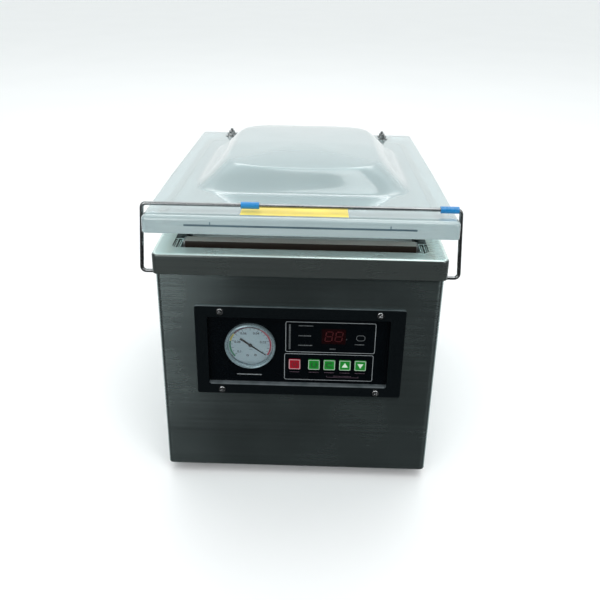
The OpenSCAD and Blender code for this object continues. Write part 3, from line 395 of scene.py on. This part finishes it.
def link_object(name, mesh, material, body, replaces=()):
    piece = bpy.data.objects.new(name, mesh)
    bpy.context.scene.collection.objects.link(piece)
    mesh.materials.clear()
    mesh.materials.append(material)
    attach(piece, body)
    if replaces:
        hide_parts(*replaces)
    return piece


def from_bmesh(name, shape):
    mesh = bpy.data.meshes.new(name)
    bmesh.ops.recalc_face_normals(shape, faces=shape.faces)
    shape.to_mesh(mesh)
    shape.free()
    return mesh


def smooth(mesh, degrees=35):
    mesh.shade_smooth()
    mesh.set_sharp_from_angle(angle=math.radians(degrees))


def add_plate(shape, outline, depth, place):
    """A flat shape with thickness: outline is (u, w) points, and place(u, w, d) puts them."""
    front = [shape.verts.new(place(u, w, 0)) for u, w in outline]
    back = [shape.verts.new(place(u, w, depth)) for u, w in outline]
    shape.faces.new(front)
    shape.faces.new(back[::-1])
    for i in range(len(outline)):
        j = (i + 1) % len(outline)
        shape.faces.new((front[i], back[i], back[j], front[j]))


def add_ring(shape, outer, inner, depth, place):
    """A closed frame between two outlines with as many points."""
    rows = [[shape.verts.new(place(u, w, d)) for u, w in line]
            for line, d in ((outer, 0), (inner, 0), (inner, depth), (outer, depth))]
    n = len(outer)
    for k in range(4):
        a, b = rows[k], rows[(k + 1) % 4]
        for i in range(n):
            j = (i + 1) % n
            shape.faces.new((a[i], a[j], b[j], b[i]))


def round_box(x0, x1, z0, z1, r, steps=6):
    """Outline of a rectangle with round corners."""
    points = []
    corners = ((x1 - r, z1 - r, 0), (x0 + r, z1 - r, 90), (x0 + r, z0 + r, 180), (x1 - r, z0 + r, 270))
    for cx, cz, start in corners:
        for i in range(steps + 1):
            a = math.radians(start + 90 * i / steps)
            points.append((cx + r * math.cos(a), cz + r * math.sin(a)))
    return points


def arc_band(cx, cz, r0, r1, start, end, steps):
    """Outline of a stretch of a ring, in degrees."""
    angles = [math.radians(start + (end - start) * i / steps) for i in range(steps + 1)]
    outer = [(cx + r1 * math.cos(a), cz + r1 * math.sin(a)) for a in angles]
    inner = [(cx + r0 * math.cos(a), cz + r0 * math.sin(a)) for a in reversed(angles)]
    return outer + inner


def bar(cx, cz, length, width, degrees):
    """Outline of a short stroke about its middle."""
    a = math.radians(degrees)
    u = Vector((math.cos(a), math.sin(a))) * length / 2
    w = Vector((-math.sin(a), math.cos(a))) * width / 2
    c = Vector((cx, cz))
    return [tuple(c + u + w), tuple(c - u + w), tuple(c - u - w), tuple(c + u - w)]


PRINT = 0.06 * MM


def on_front(y):
    """Places flat shapes on an upright face that looks to -Y."""
    return lambda x, z, d: (x, y - PRINT + d, z)


def printed(name, outlines, y, material, body="cabinet", rings=()):
    """Ink on an upright face: flat shapes sunk by their own thickness into it."""
    shape = bmesh.new()
    for outline in outlines:
        add_plate(shape, outline, 1.6 * PRINT, on_front(y))
    for outer, inner in rings:
        add_ring(shape, outer, inner, 1.6 * PRINT, on_front(y))
    return link_object(name, from_bmesh(name, shape), material, body)


def numeral_mesh(name, words, y):
    """Flat numbers as one mesh: words is a list of (text, x, z, height)."""
    shape = bmesh.new()
    for text, x, z, height in words:
        curve = bpy.data.curves.new(name, "FONT")
        curve.body = text
        curve.size = height * 1.4
        curve.align_x = "CENTER"
        curve.align_y = "CENTER"
        curve.extrude = 0.8 * PRINT
        curve.offset = 0.035 * height
        curve.resolution_u = 3
        item = bpy.data.objects.new(name, curve)
        bpy.context.scene.collection.objects.link(item)
        item.matrix_world = Matrix.Translation((x, y - 0.2 * PRINT, z)) @ Matrix.Rotation(
            math.radians(90), 4, "X")
        bpy.context.view_layer.update()
        graph = bpy.context.evaluated_depsgraph_get()
        mesh = bpy.data.meshes.new_from_object(item.evaluated_get(graph))
        mesh.transform(item.matrix_world)
        shape.from_mesh(mesh)
        bpy.data.objects.remove(item)
        bpy.data.meshes.remove(mesh)
        bpy.data.curves.remove(curve)
    bmesh.ops.remove_doubles(shape, verts=shape.verts, dist=1e-7)
    return from_bmesh(name, shape)


# ---------------------------------------------------------------- CAD nodes that keep their shape

def finish_cad_nodes():
    looks = {
        brushed("cabinet_steel", (0.38, 0.47, 0.47), 0.25, 0.93): ["cabinet_shell", "rear_panel"],
        # top 7.6 paints the rim's up-facing flange far paler than its dark skirt: painted light on one
        # steel.
        brushed("rim_steel_painted_top_light", (0.11, 0.13, 0.126), 0.27, 0.6, 7.6, 0.75): ["chamber_pan", "bar_guides"],
        metal("zinc_plate", (0.42, 0.43, 0.44), 0.34, 300): ["base_plate", "hinge_bases", "hinge_straps"],
        metal("nut_steel", (0.36, 0.37, 0.37), 0.3): ["hinge_nuts"],
        metal("bright_steel", (0.6, 0.61, 0.62), 0.2): [
            "rear_screws", "foot_screws", "panel_screws", "hinge_pins", "counter_screws",
            "lift_rods"],
        metal("spring_wire", (0.2, 0.2, 0.21), 0.3): ["lid_springs"],
        metal("pale_plate", (0.25, 0.34, 0.37), 0.25, 1200, 0.004, 0.5): ["gauge_bezel"],
        metal("cast_aluminium", (0.55, 0.56, 0.58), 0.4, 500, 0.05): ["lift_cylinders", "valve_block"],
        metal("drawn_aluminium", (0.6, 0.61, 0.62), 0.32): ["counter_channel", "seal_bar"],
        metal("brass", (0.65, 0.46, 0.2), 0.25): ["vacuum_port"],
        metal("copper", (0.6, 0.3, 0.18), 0.3): ["gauge_tube"],
        metal("ground_steel", (0.45, 0.45, 0.47), 0.3): ["motor_rotor"],
        plastic("machine_enamel", (0.05, 0.1, 0.17), 0.35, 250, 0.15, 0.3): [
            "pump_motor", "pump_casing", "oil_case"],
        plastic("black_enamel", (0.012, 0.012, 0.014), 0.3, 500, 0.04, 0.4): [
            "gauge_case", "fan_cowl"],
        plastic("needle_black", (0.003, 0.003, 0.003), 0.5, shine=0.1): ["gauge_needle"],
        plastic("black_plastic", (0.018, 0.018, 0.02), 0.45, 500, 0.06): [
            "cord_gland", "switch_housing", "switch_rocker", "lid_switch", "valve_coils"],
        plastic("rubber", (0.015, 0.015, 0.015), 0.7, 400, 0.1): ["feet", "pump_mounts", "vacuum_hose"],
        plastic("ivory_nylon", (0.7, 0.66, 0.54), 0.45): ["bail_bushes", "switch_plunger"],
        plastic("white_polyethylene", (0.8, 0.81, 0.8), 0.5, 200, 0.2, vary=0.04): ["filler_plate"],
        plastic("silicone", (0.55, 0.54, 0.5), 0.5, vary=0.06): ["lid_gasket"],
        plastic("red_silicone", (0.45, 0.1, 0.05), 0.5, vary=0.06): ["counter_strip"],
        plastic("circuit_board", (0.02, 0.16, 0.06), 0.35, 300): ["control_board"],
        plastic("varnished_iron", (0.09, 0.085, 0.08), 0.45, 300, 0.1): ["transformer"],
        panel_coat(): ["panel_frame"],
        plastic("overlay_film", (0.001, 0.002, 0.003), 0.22, 300, 0.005, shine=0.14): ["panel_overlay"],
        plastic("dial_enamel", (0.32, 0.43, 0.47), 0.35, vary=0.03): ["gauge_dial"],
        plastic("display_tint", (0.008, 0.001, 0.0015), 0.2, shine=0.2): ["display_lens"],
        plastic("key_red", (0.25, 0.002, 0.012), 0.35, shine=0.2): ["stop_key"],
        plastic("key_green", (0.005, 0.19, 0.018), 0.35, shine=0.2): [
            "vacuum_key", "set_key", "up_key", "down_key"],
        plastic("sleeve_blue", (0.005, 0.2, 0.5), 0.3, 200, 0.05, 0.3): ["bail_sleeves"],
        plastic("label_film", (0.93, 0.72, 0.13), 0.4, 100, 0.05, 0.1): ["lid_label"],
        coated_cloth(): ["seal_tape"],
        glass(): ["gauge_lens"],
    }
    for material, names in looks.items():
        for name in names:
            slots = nodes[name].data.materials
            slots.clear()
            slots.append(material)


# ---------------------------------------------------------------- lid

rest_open = math.radians(-joints["lid_hinge"]["range_deg"][0])
hinge = Vector(joints["lid_hinge"]["pos_m"])
to_rest = (Matrix.Translation(hinge) @ Matrix.Rotation(-rest_open, 4, "X")
           @ Matrix.Translation(-hinge))


def closed_box(node, above=None):
    """A lid node's box in the lid's closed place, or that of its points above a height."""
    back = to_rest.inverted()
    points = [back @ v.co for v in nodes[node].data.vertices]
    if above is not None:
        points = [p for p in points if p.z > above]
    low = Vector([min(p[i] for p in points) for i in range(3)])
    high = Vector([max(p[i] for p in points) for i in range(3)])
    return low, high


def squarish(a, b, power, angle):
    """A point of a superellipse in a given direction from its middle."""
    c, s = math.cos(angle), math.sin(angle)
    r = (abs(c / a) ** power + abs(s / b) ** power) ** (-1 / power)
    return r * c, r * s


def ease(t):
    return t * t * (3 - 2 * t)


def lid_acrylic():
    """The lid as one closed skin: its rings run from the dome's top out over the plate, down
    its edge and back in below to the hollow of the dome."""
    low, high = closed_box("lid_shell")
    plate_top = closed_box("lid_label")[0].z
    foot_low, foot_high = closed_box("lid_shell", plate_top + 0.4 * MM)
    centre_y = (foot_low.y + foot_high.y) / 2
    half_x = (foot_high.x - foot_low.x) / 2 + 1 * MM
    half_y = (foot_high.y - foot_low.y) / 2 + 1 * MM
    rise = high.z - plate_top
    wall = 5 * MM
    lean_x, lean_y, crown = 43 * MM, 24 * MM, 2.5 * MM
    nose = 7 * MM
    nearly_square = 90
    corner = math.atan2(high.y - centre_y, high.x)
    corner_front = math.atan2(centre_y - low.y, high.x)
    count = 192
    angles = {2 * math.pi * i / count for i in range(count)}
    for c in (corner, math.pi - corner, math.pi + corner_front, 2 * math.pi - corner_front):
        angles |= {c + d for d in (-0.02, -0.012, -0.006, 0, 0.006, 0.012, 0.02)}
    angles = sorted(angles)

    def droop(a):
        """How far the shoulder lies below the dome's top: furthest at the front."""
        return crown + nose * max(0, -math.sin(a)) ** 2

    def dome_ring(t, off):
        """t runs from 0 at the foot to 1 at the shoulder."""
        lean = ease(t) * 0.35 + t * 0.65
        power = 7.5 - 2 * t
        ring = []
        for a in angles:
            z = plate_top + (rise - droop(a)) * ease(t) ** 1.05 - off * (1 if t > 0 else 0)
            depth = half_y - (nose if math.sin(a) < 0 else 0)
            ring.append((*squarish(half_x - off - lean_x * lean, depth - off - lean_y * lean,
                                   power, a), z))
        return ring

    def top_ring(s, off):
        """s runs from 1 at the shoulder to 0 in the middle of the dome's top."""
        return [(x * s, y * s, z + droop(a) * (1 - s * s))
                for a, (x, y, z) in zip(angles, dome_ring(1, off))]

    def plate_point(a, inset):
        """The point in direction a, at a distance inside the plate's edge."""
        reach_y = (high.y - centre_y if math.sin(a) > 0 else centre_y - low.y) - inset
        return squarish(high.x - inset, reach_y, nearly_square, a)

    def plate_ring(inset, z):
        return [(*plate_point(a, inset), z) for a in angles]

    def edge_ring(turn):
        """turn runs from 0 on the top face to 1 on the side: the front edge is the roundest."""
        ring = []
        for a in angles:
            front = max(0, -math.sin(a)) ** 3
            radius = (1.2 + 3.8 * min(1, 2.5 * front)) * MM
            inset = radius * (1 - math.sin(turn * math.pi / 2))
            drop = radius * (1 - math.cos(turn * math.pi / 2))
            ring.append((*plate_point(a, inset), plate_top - drop))
        return ring

    def under_edge(turn):
        radius = 0.8 * MM
        inset = radius * (1 - math.cos(turn * math.pi / 2))
        return plate_ring(inset, low.z + radius * (1 - math.sin(turn * math.pi / 2)))

    slope, tops = 18, 10
    rings = [top_ring(i / tops, 0) for i in range(1, tops)]
    rings += [dome_ring(1 - i / slope, 0) for i in range(slope + 1)]
    flare = [(x * 1.02, y * 1.02, plate_top - 0.02 * MM) for x, y, _ in dome_ring(0, 0)]
    rings += [flare, plate_ring(12 * MM, plate_top), edge_ring(0)]
    rings += [edge_ring(i / 5) for i in range(1, 6)]
    rings += [under_edge(i / 3) for i in range(4)]
    rings += [plate_ring(12 * MM, low.z)]
    mouth = dome_ring(0, wall)
    rings += [[(x, y, low.z) for x, y, _ in mouth], [(x, y, low.z + 1.5 * MM) for x, y, _ in mouth]]
    rings += [dome_ring(i / slope, wall) for i in range(slope + 1)]
    rings += [top_ring(1 - i / tops, wall) for i in range(1, tops)]

    shape = bmesh.new()
    rows = [[shape.verts.new((x, y + centre_y, z)) for x, y, z in ring] for ring in rings]
    n = len(angles)
    for a, b in zip(rows, rows[1:]):
        for i in range(n):
            j = (i + 1) % n
            shape.faces.new((a[i], b[i], b[j], a[j]))
    for row, z in ((rows[0], high.z), (rows[-1], high.z - wall)):
        tip = shape.verts.new((0, centre_y, z))
        for i in range(n):
            shape.faces.new((tip, row[i], row[(i + 1) % n]))
    mesh = from_bmesh("lid_acrylic", shape)

    piece = bpy.data.objects.new("lid_acrylic", mesh)
    bpy.context.scene.collection.objects.link(piece)
    for cutter in lid_cutters(low, plate_top):
        cut = piece.modifiers.new("cut", "BOOLEAN")
        cut.operation = "DIFFERENCE"
        cut.solver = "EXACT"
        cut.object = cutter
    bpy.context.view_layer.update()
    graph = bpy.context.evaluated_depsgraph_get()
    made = bpy.data.meshes.new_from_object(piece.evaluated_get(graph))
    for cut in list(piece.modifiers):
        bpy.data.objects.remove(cut.object)
    bpy.data.objects.remove(piece)
    made.transform(to_rest)
    smooth(made, 40)
    link_object("lid_acrylic", made, acrylic(), "lid", ["lid_shell"])


BOLT_RADIUS = 2.5 * MM


def lid_cutters(low, plate_top):
    """What the lid is cut by: the counter bar's pocket, the gasket's groove and bolt holes."""
    cutters = []
    past = 2 * MM

    def cutter(name, shape):
        made = bpy.data.objects.new(name, from_bmesh(name, shape))
        bpy.context.scene.collection.objects.link(made)
        made.hide_render = True
        cutters.append(made)

    def from_below(x, y, d):
        return (x, y, low.z - past + d)

    c0, c1 = closed_box("counter_channel")
    shape = bmesh.new()
    pocket = round_box(c0.x - MM, c1.x + MM, c0.y - MM, c1.y + MM, 1.5 * MM, 3)
    add_plate(shape, pocket, c1.z + 0.05 * MM - low.z + past, from_below)
    cutter("pocket", shape)

    g0, g1 = closed_box("lid_gasket")
    width = 8 * MM
    shape = bmesh.new()
    add_ring(shape, round_box(g0.x, g1.x, g0.y, g1.y, 18 * MM),
             round_box(g0.x + width, g1.x - width, g0.y + width, g1.y - width, 10 * MM),
             7 * MM, from_below)
    cutter("groove", shape)

    b0, b1 = closed_box("hinge_bolts")
    wide = 1.1 * BOLT_RADIUS
    turns = [i * math.pi / 12 for i in range(24)]
    shape = bmesh.new()
    for x in (b0.x + BOLT_RADIUS, b1.x - BOLT_RADIUS):
        for y in (b0.y + BOLT_RADIUS, b1.y - BOLT_RADIUS):
            hole = [(x + wide * math.cos(a), y + wide * math.sin(a)) for a in turns]
            add_plate(shape, hole, plate_top - low.z + 2 * past, from_below)
    cutter("holes", shape)
    return cutters


# ---------------------------------------------------------------- printing on the panel

def caption(rng, x, z, length, height=1.4):
    """Small upright dashes in place of a word, from x to x + length."""
    dashes = []
    end = x + length
    while x < end - 0.6:
        step = min(rng.uniform(0.9, 1.9), end - x)
        tall = height * rng.uniform(0.7, 1)
        dashes.append(bar((x + step / 2) * MM, z * MM, (step - 0.35) * MM, tall * MM, 0))
        x += step
    return dashes


def frame_line(x0, x1, z0, z1, r, width):
    """The two outlines of a line around a round-cornered box; all in millimetres."""
    outer = round_box(x0 * MM, x1 * MM, z0 * MM, z1 * MM, r * MM)
    inner = round_box((x0 + width) * MM, (x1 - width) * MM, (z0 + width) * MM, (z1 - width) * MM,
                      (r - width) * MM)
    return outer, inner


def panel_printing():
    """Lines and captions; heights are counted from the row of keys."""
    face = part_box("panel_overlay")[0].y
    row = middle("stop_key").z / MM
    rng = random.Random(7)
    pale = plastic("ink_pale", (0.2, 0.22, 0.23), 0.5, vary=0.2)
    faint = plastic("ink_faint", (0.085, 0.095, 0.1), 0.5, vary=0.25)
    purple = plastic("ink_purple", (0.07, 0.04, 0.06), 0.5, vary=0.2)
    printed("panel_frames", [], face, pale,
            rings=[frame_line(-15.2, 89.8, row + 16.4, row + 57.2, 2.4, 0.75),
                   frame_line(-16.4, 88.8, row - 22.2, row + 14.3, 2.4, 0.75)])
    words = []
    for up, length in ((52, 17), (38.6, 15), (25.8, 17)):
        words += caption(rng, 0, row + up, length)
    words += caption(rng, 36.5, row + 21.6, 8)
    words += caption(rng, 66, row + 28.4, 11)
    words += [bar(56 * MM, (row + 35) * MM, 1.8 * MM, 0.7 * MM, a) for a in (90, 60)]
    at = 20
    while at < 53:
        step = rng.uniform(1, 2.2)
        words.append(bar(-10.2 * MM, (row + at + step / 2) * MM, 2 * MM, (step - 0.4) * MM, 0))
        at += step
    printed("panel_words", words, face, faint,
            rings=[frame_line(67.4, 77.8, row + 33.4, row + 41, 3.2, 0.7)])
    names = []
    for key in KEYS:
        x = middle(key).x / MM
        names += caption(rng, x - 6, row - 11.2, 12, 1.1)
    names += [bar(53 * MM, (row - 17.6) * MM, 38 * MM, 0.5 * MM, 0)]
    names += [bar(x * MM, (row - 16.8) * MM, 0.5 * MM, 2.2 * MM, 0) for x in (34.2, 71.8)]
    names += caption(rng, 42, row - 16, 22, 1)
    printed("key_words", names, face, purple)
    printed("gauge_words", caption(rng, -73, row - 16.4, 30, 1.6), face, pale)


KEYS = ("stop_key", "vacuum_key", "set_key", "up_key", "down_key")


def key_faces():
    """A pale border and a sign on each key."""
    pale = plastic("key_border", (0.3, 0.42, 0.32), 0.4, vary=0.1)
    rosy = plastic("stop_border", (0.42, 0.25, 0.27), 0.4, vary=0.1)
    sign = plastic("key_sign", (0.01, 0.06, 0.015), 0.4, vary=0.1)
    bright = plastic("arrow_white", (0.55, 0.68, 0.56), 0.4, vary=0.1)
    dark_red = plastic("stop_sign", (0.09, 0.004, 0.01), 0.4, vary=0.1)
    for key in KEYS:
        low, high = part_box(key)
        x, z, y = (low.x + high.x) / 2, (low.z + high.z) / 2, low.y
        half = (high.x - low.x) / 2 - 0.15 * MM
        outer = round_box(x - half, x + half, z - half, z + half, 1.3 * MM)
        w = 0.9 * MM
        inner = round_box(x - half + w, x + half - w, z - half + w, z + half - w, 0.7 * MM)
        border = rosy if key == "stop_key" else pale
        printed(key + "_border", [], y, border, key, [(outer, inner)])
        if key in ("up_key", "down_key"):
            up = 1 if key == "up_key" else -1
            arrow = [(x - 3.6 * MM, z - up * 2.6 * MM), (x + 3.6 * MM, z - up * 2.6 * MM),
                     (x, z + up * 3.6 * MM)]
            printed(key + "_arrow", [arrow[::up]], y, bright, key)
        elif key == "stop_key":
            loop = arc_band(x, z, 2.4 * MM, 3.6 * MM, -240, 60, 20)
            printed("stop_sign", [loop, bar(x, z + 2.6 * MM, 3.4 * MM, 0.9 * MM, 90)], y, dark_red, key)
        elif key == "vacuum_key":
            loop = arc_band(x, z, 2.5 * MM, 3.8 * MM, -250, 70, 22)
            printed("vacuum_sign", [loop], y, sign, key)
        else:
            loop = arc_band(x - 1 * MM, z, 1.9 * MM, 3.1 * MM, 90, 270, 14)
            strokes = [bar(x + 1.2 * MM, z + s * 2.65 * MM, 4.2 * MM, 1.2 * MM, 0) for s in (-1, 1)]
            printed("set_sign", [loop] + strokes, y, sign, key)


def digits():
    """Two seven-segment digits behind the red window, only faintly lit."""
    low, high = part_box("display_lens")
    z = (low.z + high.z) / 2
    segments = []
    w, h, slant = 3.9 * MM, 6.3 * MM, 0.9 * MM
    for x in (low.x + 8.6 * MM, low.x + 20.2 * MM):
        for side in (-1, 1):
            for level in (-1, 1):
                cx = x + side * w + level * slant / 2
                segments.append(bar(cx, z + level * h / 2, 5.2 * MM, 1.3 * MM, 82))
        for level in (-1, 0, 1):
            segments.append(bar(x + level * slant, z + level * h, 6 * MM, 1.3 * MM, 0))
    printed("digit_segments", segments, low.y, glow("digit_glow", (0.05, 0.002, 0.004), 0.05))


# ---------------------------------------------------------------- gauge dial

def dial_printing():
    low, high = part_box("gauge_dial")
    x, z, y = (low.x + high.x) / 2, (low.z + high.z) / 2, low.y
    inks = {
        "green": ((0.0, 0.13, 0.06), 168, 221), "yellow": ((0.42, 0.36, 0.03), 143, 167),
        "maroon": ((0.06, 0.008, 0.03), 60, 142), "red": ((0.36, 0.01, 0.04), -33, 59.5)}
    for name, (colour, start, end) in inks.items():
        band = arc_band(x, z, 22.9 * MM, 25 * MM, start, end, 36)
        printed("arc_" + name, [band], y, plastic("dial_" + name, colour, 0.4, vary=0.1))
    black = plastic("dial_black", (0.02, 0.025, 0.03), 0.4, vary=0.1)
    first, last, gaps, tick_outer = -36, 216, 20, 22.7
    ticks = []
    for i in range(gaps + 1):
        a = math.radians(first + (last - first) / gaps * i)
        length = 3 if i % 2 == 0 else 1.8
        r = (tick_outer - length / 2) * MM
        ticks.append(bar(x + r * math.cos(a), z + r * math.sin(a), length * MM, 0.55 * MM,
                         math.degrees(a)))
    for dx, dz in ((-3.4, -14.2), (5.9, -13.7)):
        ticks.append(arc_band(x + dx * MM, z + dz * MM, 0.7 * MM, 1.5 * MM, 0, 350, 18))
    ticks += [bar(x + dx * MM, z - 6.4 * MM, 1.2 * MM, 0.5 * MM, 0) for dx in (-0.2, 1.6)]
    printed("dial_ticks", ticks, y, black)
    words = []
    for text, angle, r in (("0", first, 17.5), ("0.02", 15, 15.6), ("0.04", 66, 17.2),
                           ("0.06", 117, 17.2), ("0.08", 166, 15.6), ("0.1", last, 16)):
        a = math.radians(angle)
        words.append((text, x + r * MM * math.cos(a), z + r * MM * math.sin(a), 3.1 * MM))
    link_object("dial_numbers", numeral_mesh("dial_numbers", words, y), black, "cabinet")


# ---------------------------------------------------------------- threaded studs of the hinges

def lathe(shape, profile, place, segments=20):
    """Turns a (radius, height) profile into a solid with flat ends."""
    rows = []
    for r, h in profile:
        ring = []
        for i in range(segments):
            a = 2 * math.pi * i / segments
            ring.append(shape.verts.new(place(r * math.cos(a), r * math.sin(a), h)))
        rows.append(ring)
    for a, b in zip(rows, rows[1:]):
        for i in range(segments):
            j = (i + 1) % segments
            shape.faces.new((a[i], a[j], b[j], b[i]))
    shape.faces.new(rows[0][::-1])
    shape.faces.new(rows[-1])


def hinge_studs():
    low, high = closed_box("hinge_bolts")
    r = BOLT_RADIUS
    pitch = 0.8 * MM
    profile = [(r - 0.7 * MM, 0), (r - 0.1 * MM, 0.5 * MM)]
    h = 0.6 * MM
    top = high.z - low.z
    while h < top - 1.6 * MM:
        profile += [(r, h), (r, h + 0.2 * pitch), (r - 0.4 * MM, h + 0.5 * pitch),
                    (r - 0.4 * MM, h + 0.7 * pitch)]
        h += pitch
    profile += [(r - 0.1 * MM, h), (r - 0.9 * MM, top)]
    shape = bmesh.new()
    for x in (low.x + r, high.x - r):
        for y in (low.y + r, high.y - r):
            foot = Vector((x, y, low.z))
            lathe(shape, profile, lambda a, b, c, foot=foot: to_rest @ (foot + Vector((a, b, c))))
    mesh = from_bmesh("hinge_studs", shape)
    smooth(mesh, 30)
    link_object("hinge_studs", mesh, metal("stud_steel", (0.33, 0.34, 0.34), 0.3), "lid",
                ["hinge_bolts"])


# ---------------------------------------------------------------- bail

def sweep(shape, points, radius, segments=20):
    """A round wire through the points, closed at both ends."""
    rows = []
    side = None
    for k, p in enumerate(points):
        ahead = (points[min(k + 1, len(points) - 1)] - points[max(k - 1, 0)]).normalized()
        if side is None:
            side = ahead.cross(Vector((0, 1, 0))).normalized()
        side = (side - ahead * side.dot(ahead)).normalized()
        other = ahead.cross(side)
        rows.append([shape.verts.new(p + radius * (math.cos(a) * side + math.sin(a) * other))
                     for a in (2 * math.pi * i / segments for i in range(segments))])
    for a, b in zip(rows, rows[1:]):
        for i in range(segments):
            j = (i + 1) % segments
            shape.faces.new((a[i], a[j], b[j], b[i]))
    shape.faces.new(rows[0][::-1])
    shape.faces.new(rows[-1])


def bail():
    """The bail's wire, whose legs splay a little outwards towards their pivots."""
    pivot = Vector(joints["bail_swing"]["pos_m"])
    grip = middle("bail_sleeves")
    up = Vector((0, grip.y - pivot.y, grip.z - pivot.z))
    reach = up.length
    up.normalize()
    radius = 2.2 * MM
    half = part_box("bail_wire")[1].x - radius
    top, foot = half - 2 * MM, half + 2 * MM
    bend = 5 * MM
    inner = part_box("cabinet_shell")[1].x - 12 * MM
    splay = math.atan((foot - top) / (reach - 2 * bend))
    path = [(inner, 0), (foot - bend - 8 * MM, 0)]
    steps = 10
    for i in range(steps + 1):
        a = -math.pi / 2 + (math.pi / 2 + splay) * i / steps
        path.append((foot - bend + bend * math.cos(a), bend + bend * math.sin(a)))
    for i in range(steps + 1):
        a = splay + (math.pi / 2 - splay) * i / steps
        path.append((top - bend + bend * math.cos(a), reach - bend + bend * math.sin(a)))
    path += [(top - bend - 20 * MM, reach), (0, reach)]
    path += [(-x, s) for x, s in reversed(path[:-1])]
    points = [Vector((x, pivot.y, pivot.z)) + up * s for x, s in path]
    shape = bmesh.new()
    sweep(shape, points, radius)
    mesh = from_bmesh("bail_rod", shape)
    smooth(mesh, 40)
    link_object("bail_rod", mesh, metal("bail_steel", (0.3, 0.31, 0.315), 0.25, 1500), "bail",
                ["bail_wire"])


def counter_shade_line():
    """A grey line and two ticks on the lid's front face: painted shade of the counter bar's edge and its
    screws, as they show through the acrylic.
    """
    y = closed_box("lid_shell")[0].y - PRINT
    c0, c1 = closed_box("counter_channel")
    z = (c0.z + c1.z) / 2
    half, thick = 125.5 * MM, 1.1 * MM
    screw_x = 97 * MM

    def on_lid(u, w, d):
        return to_rest @ Vector((u, y + d, w))

    def over_line(u, w, d):
        return to_rest @ Vector((u, y - 0.02 * MM + d, w))

    # Painted shade: the line and ticks stand in for the bar's dark edge and screws seen through the lid.
    shape = bmesh.new()
    line = round_box(-half, half, z - thick, z + thick, 0.6 * MM, 3)
    add_plate(shape, line, 2 * PRINT, on_lid)
    for x in (-screw_x, screw_x):
        add_plate(shape, bar(x, z + 1.6 * MM, 1.2 * MM, 5 * MM, 0), 2.2 * PRINT, over_line)
    link_object("counter_shade_line", from_bmesh("counter_shade_line", shape),
                plastic("counter_shade_grey", (0.055, 0.1, 0.125), 0.4, 900, vary=0.25), "lid")


# ---------------------------------------------------------------- build

def main():
    make_camera()
    make_studio()
    finish_cad_nodes()
    lid_acrylic()
    counter_shade_line()
    hinge_studs()
    bail()
    panel_printing()
    key_faces()
    digits()
    dial_printing()


main()
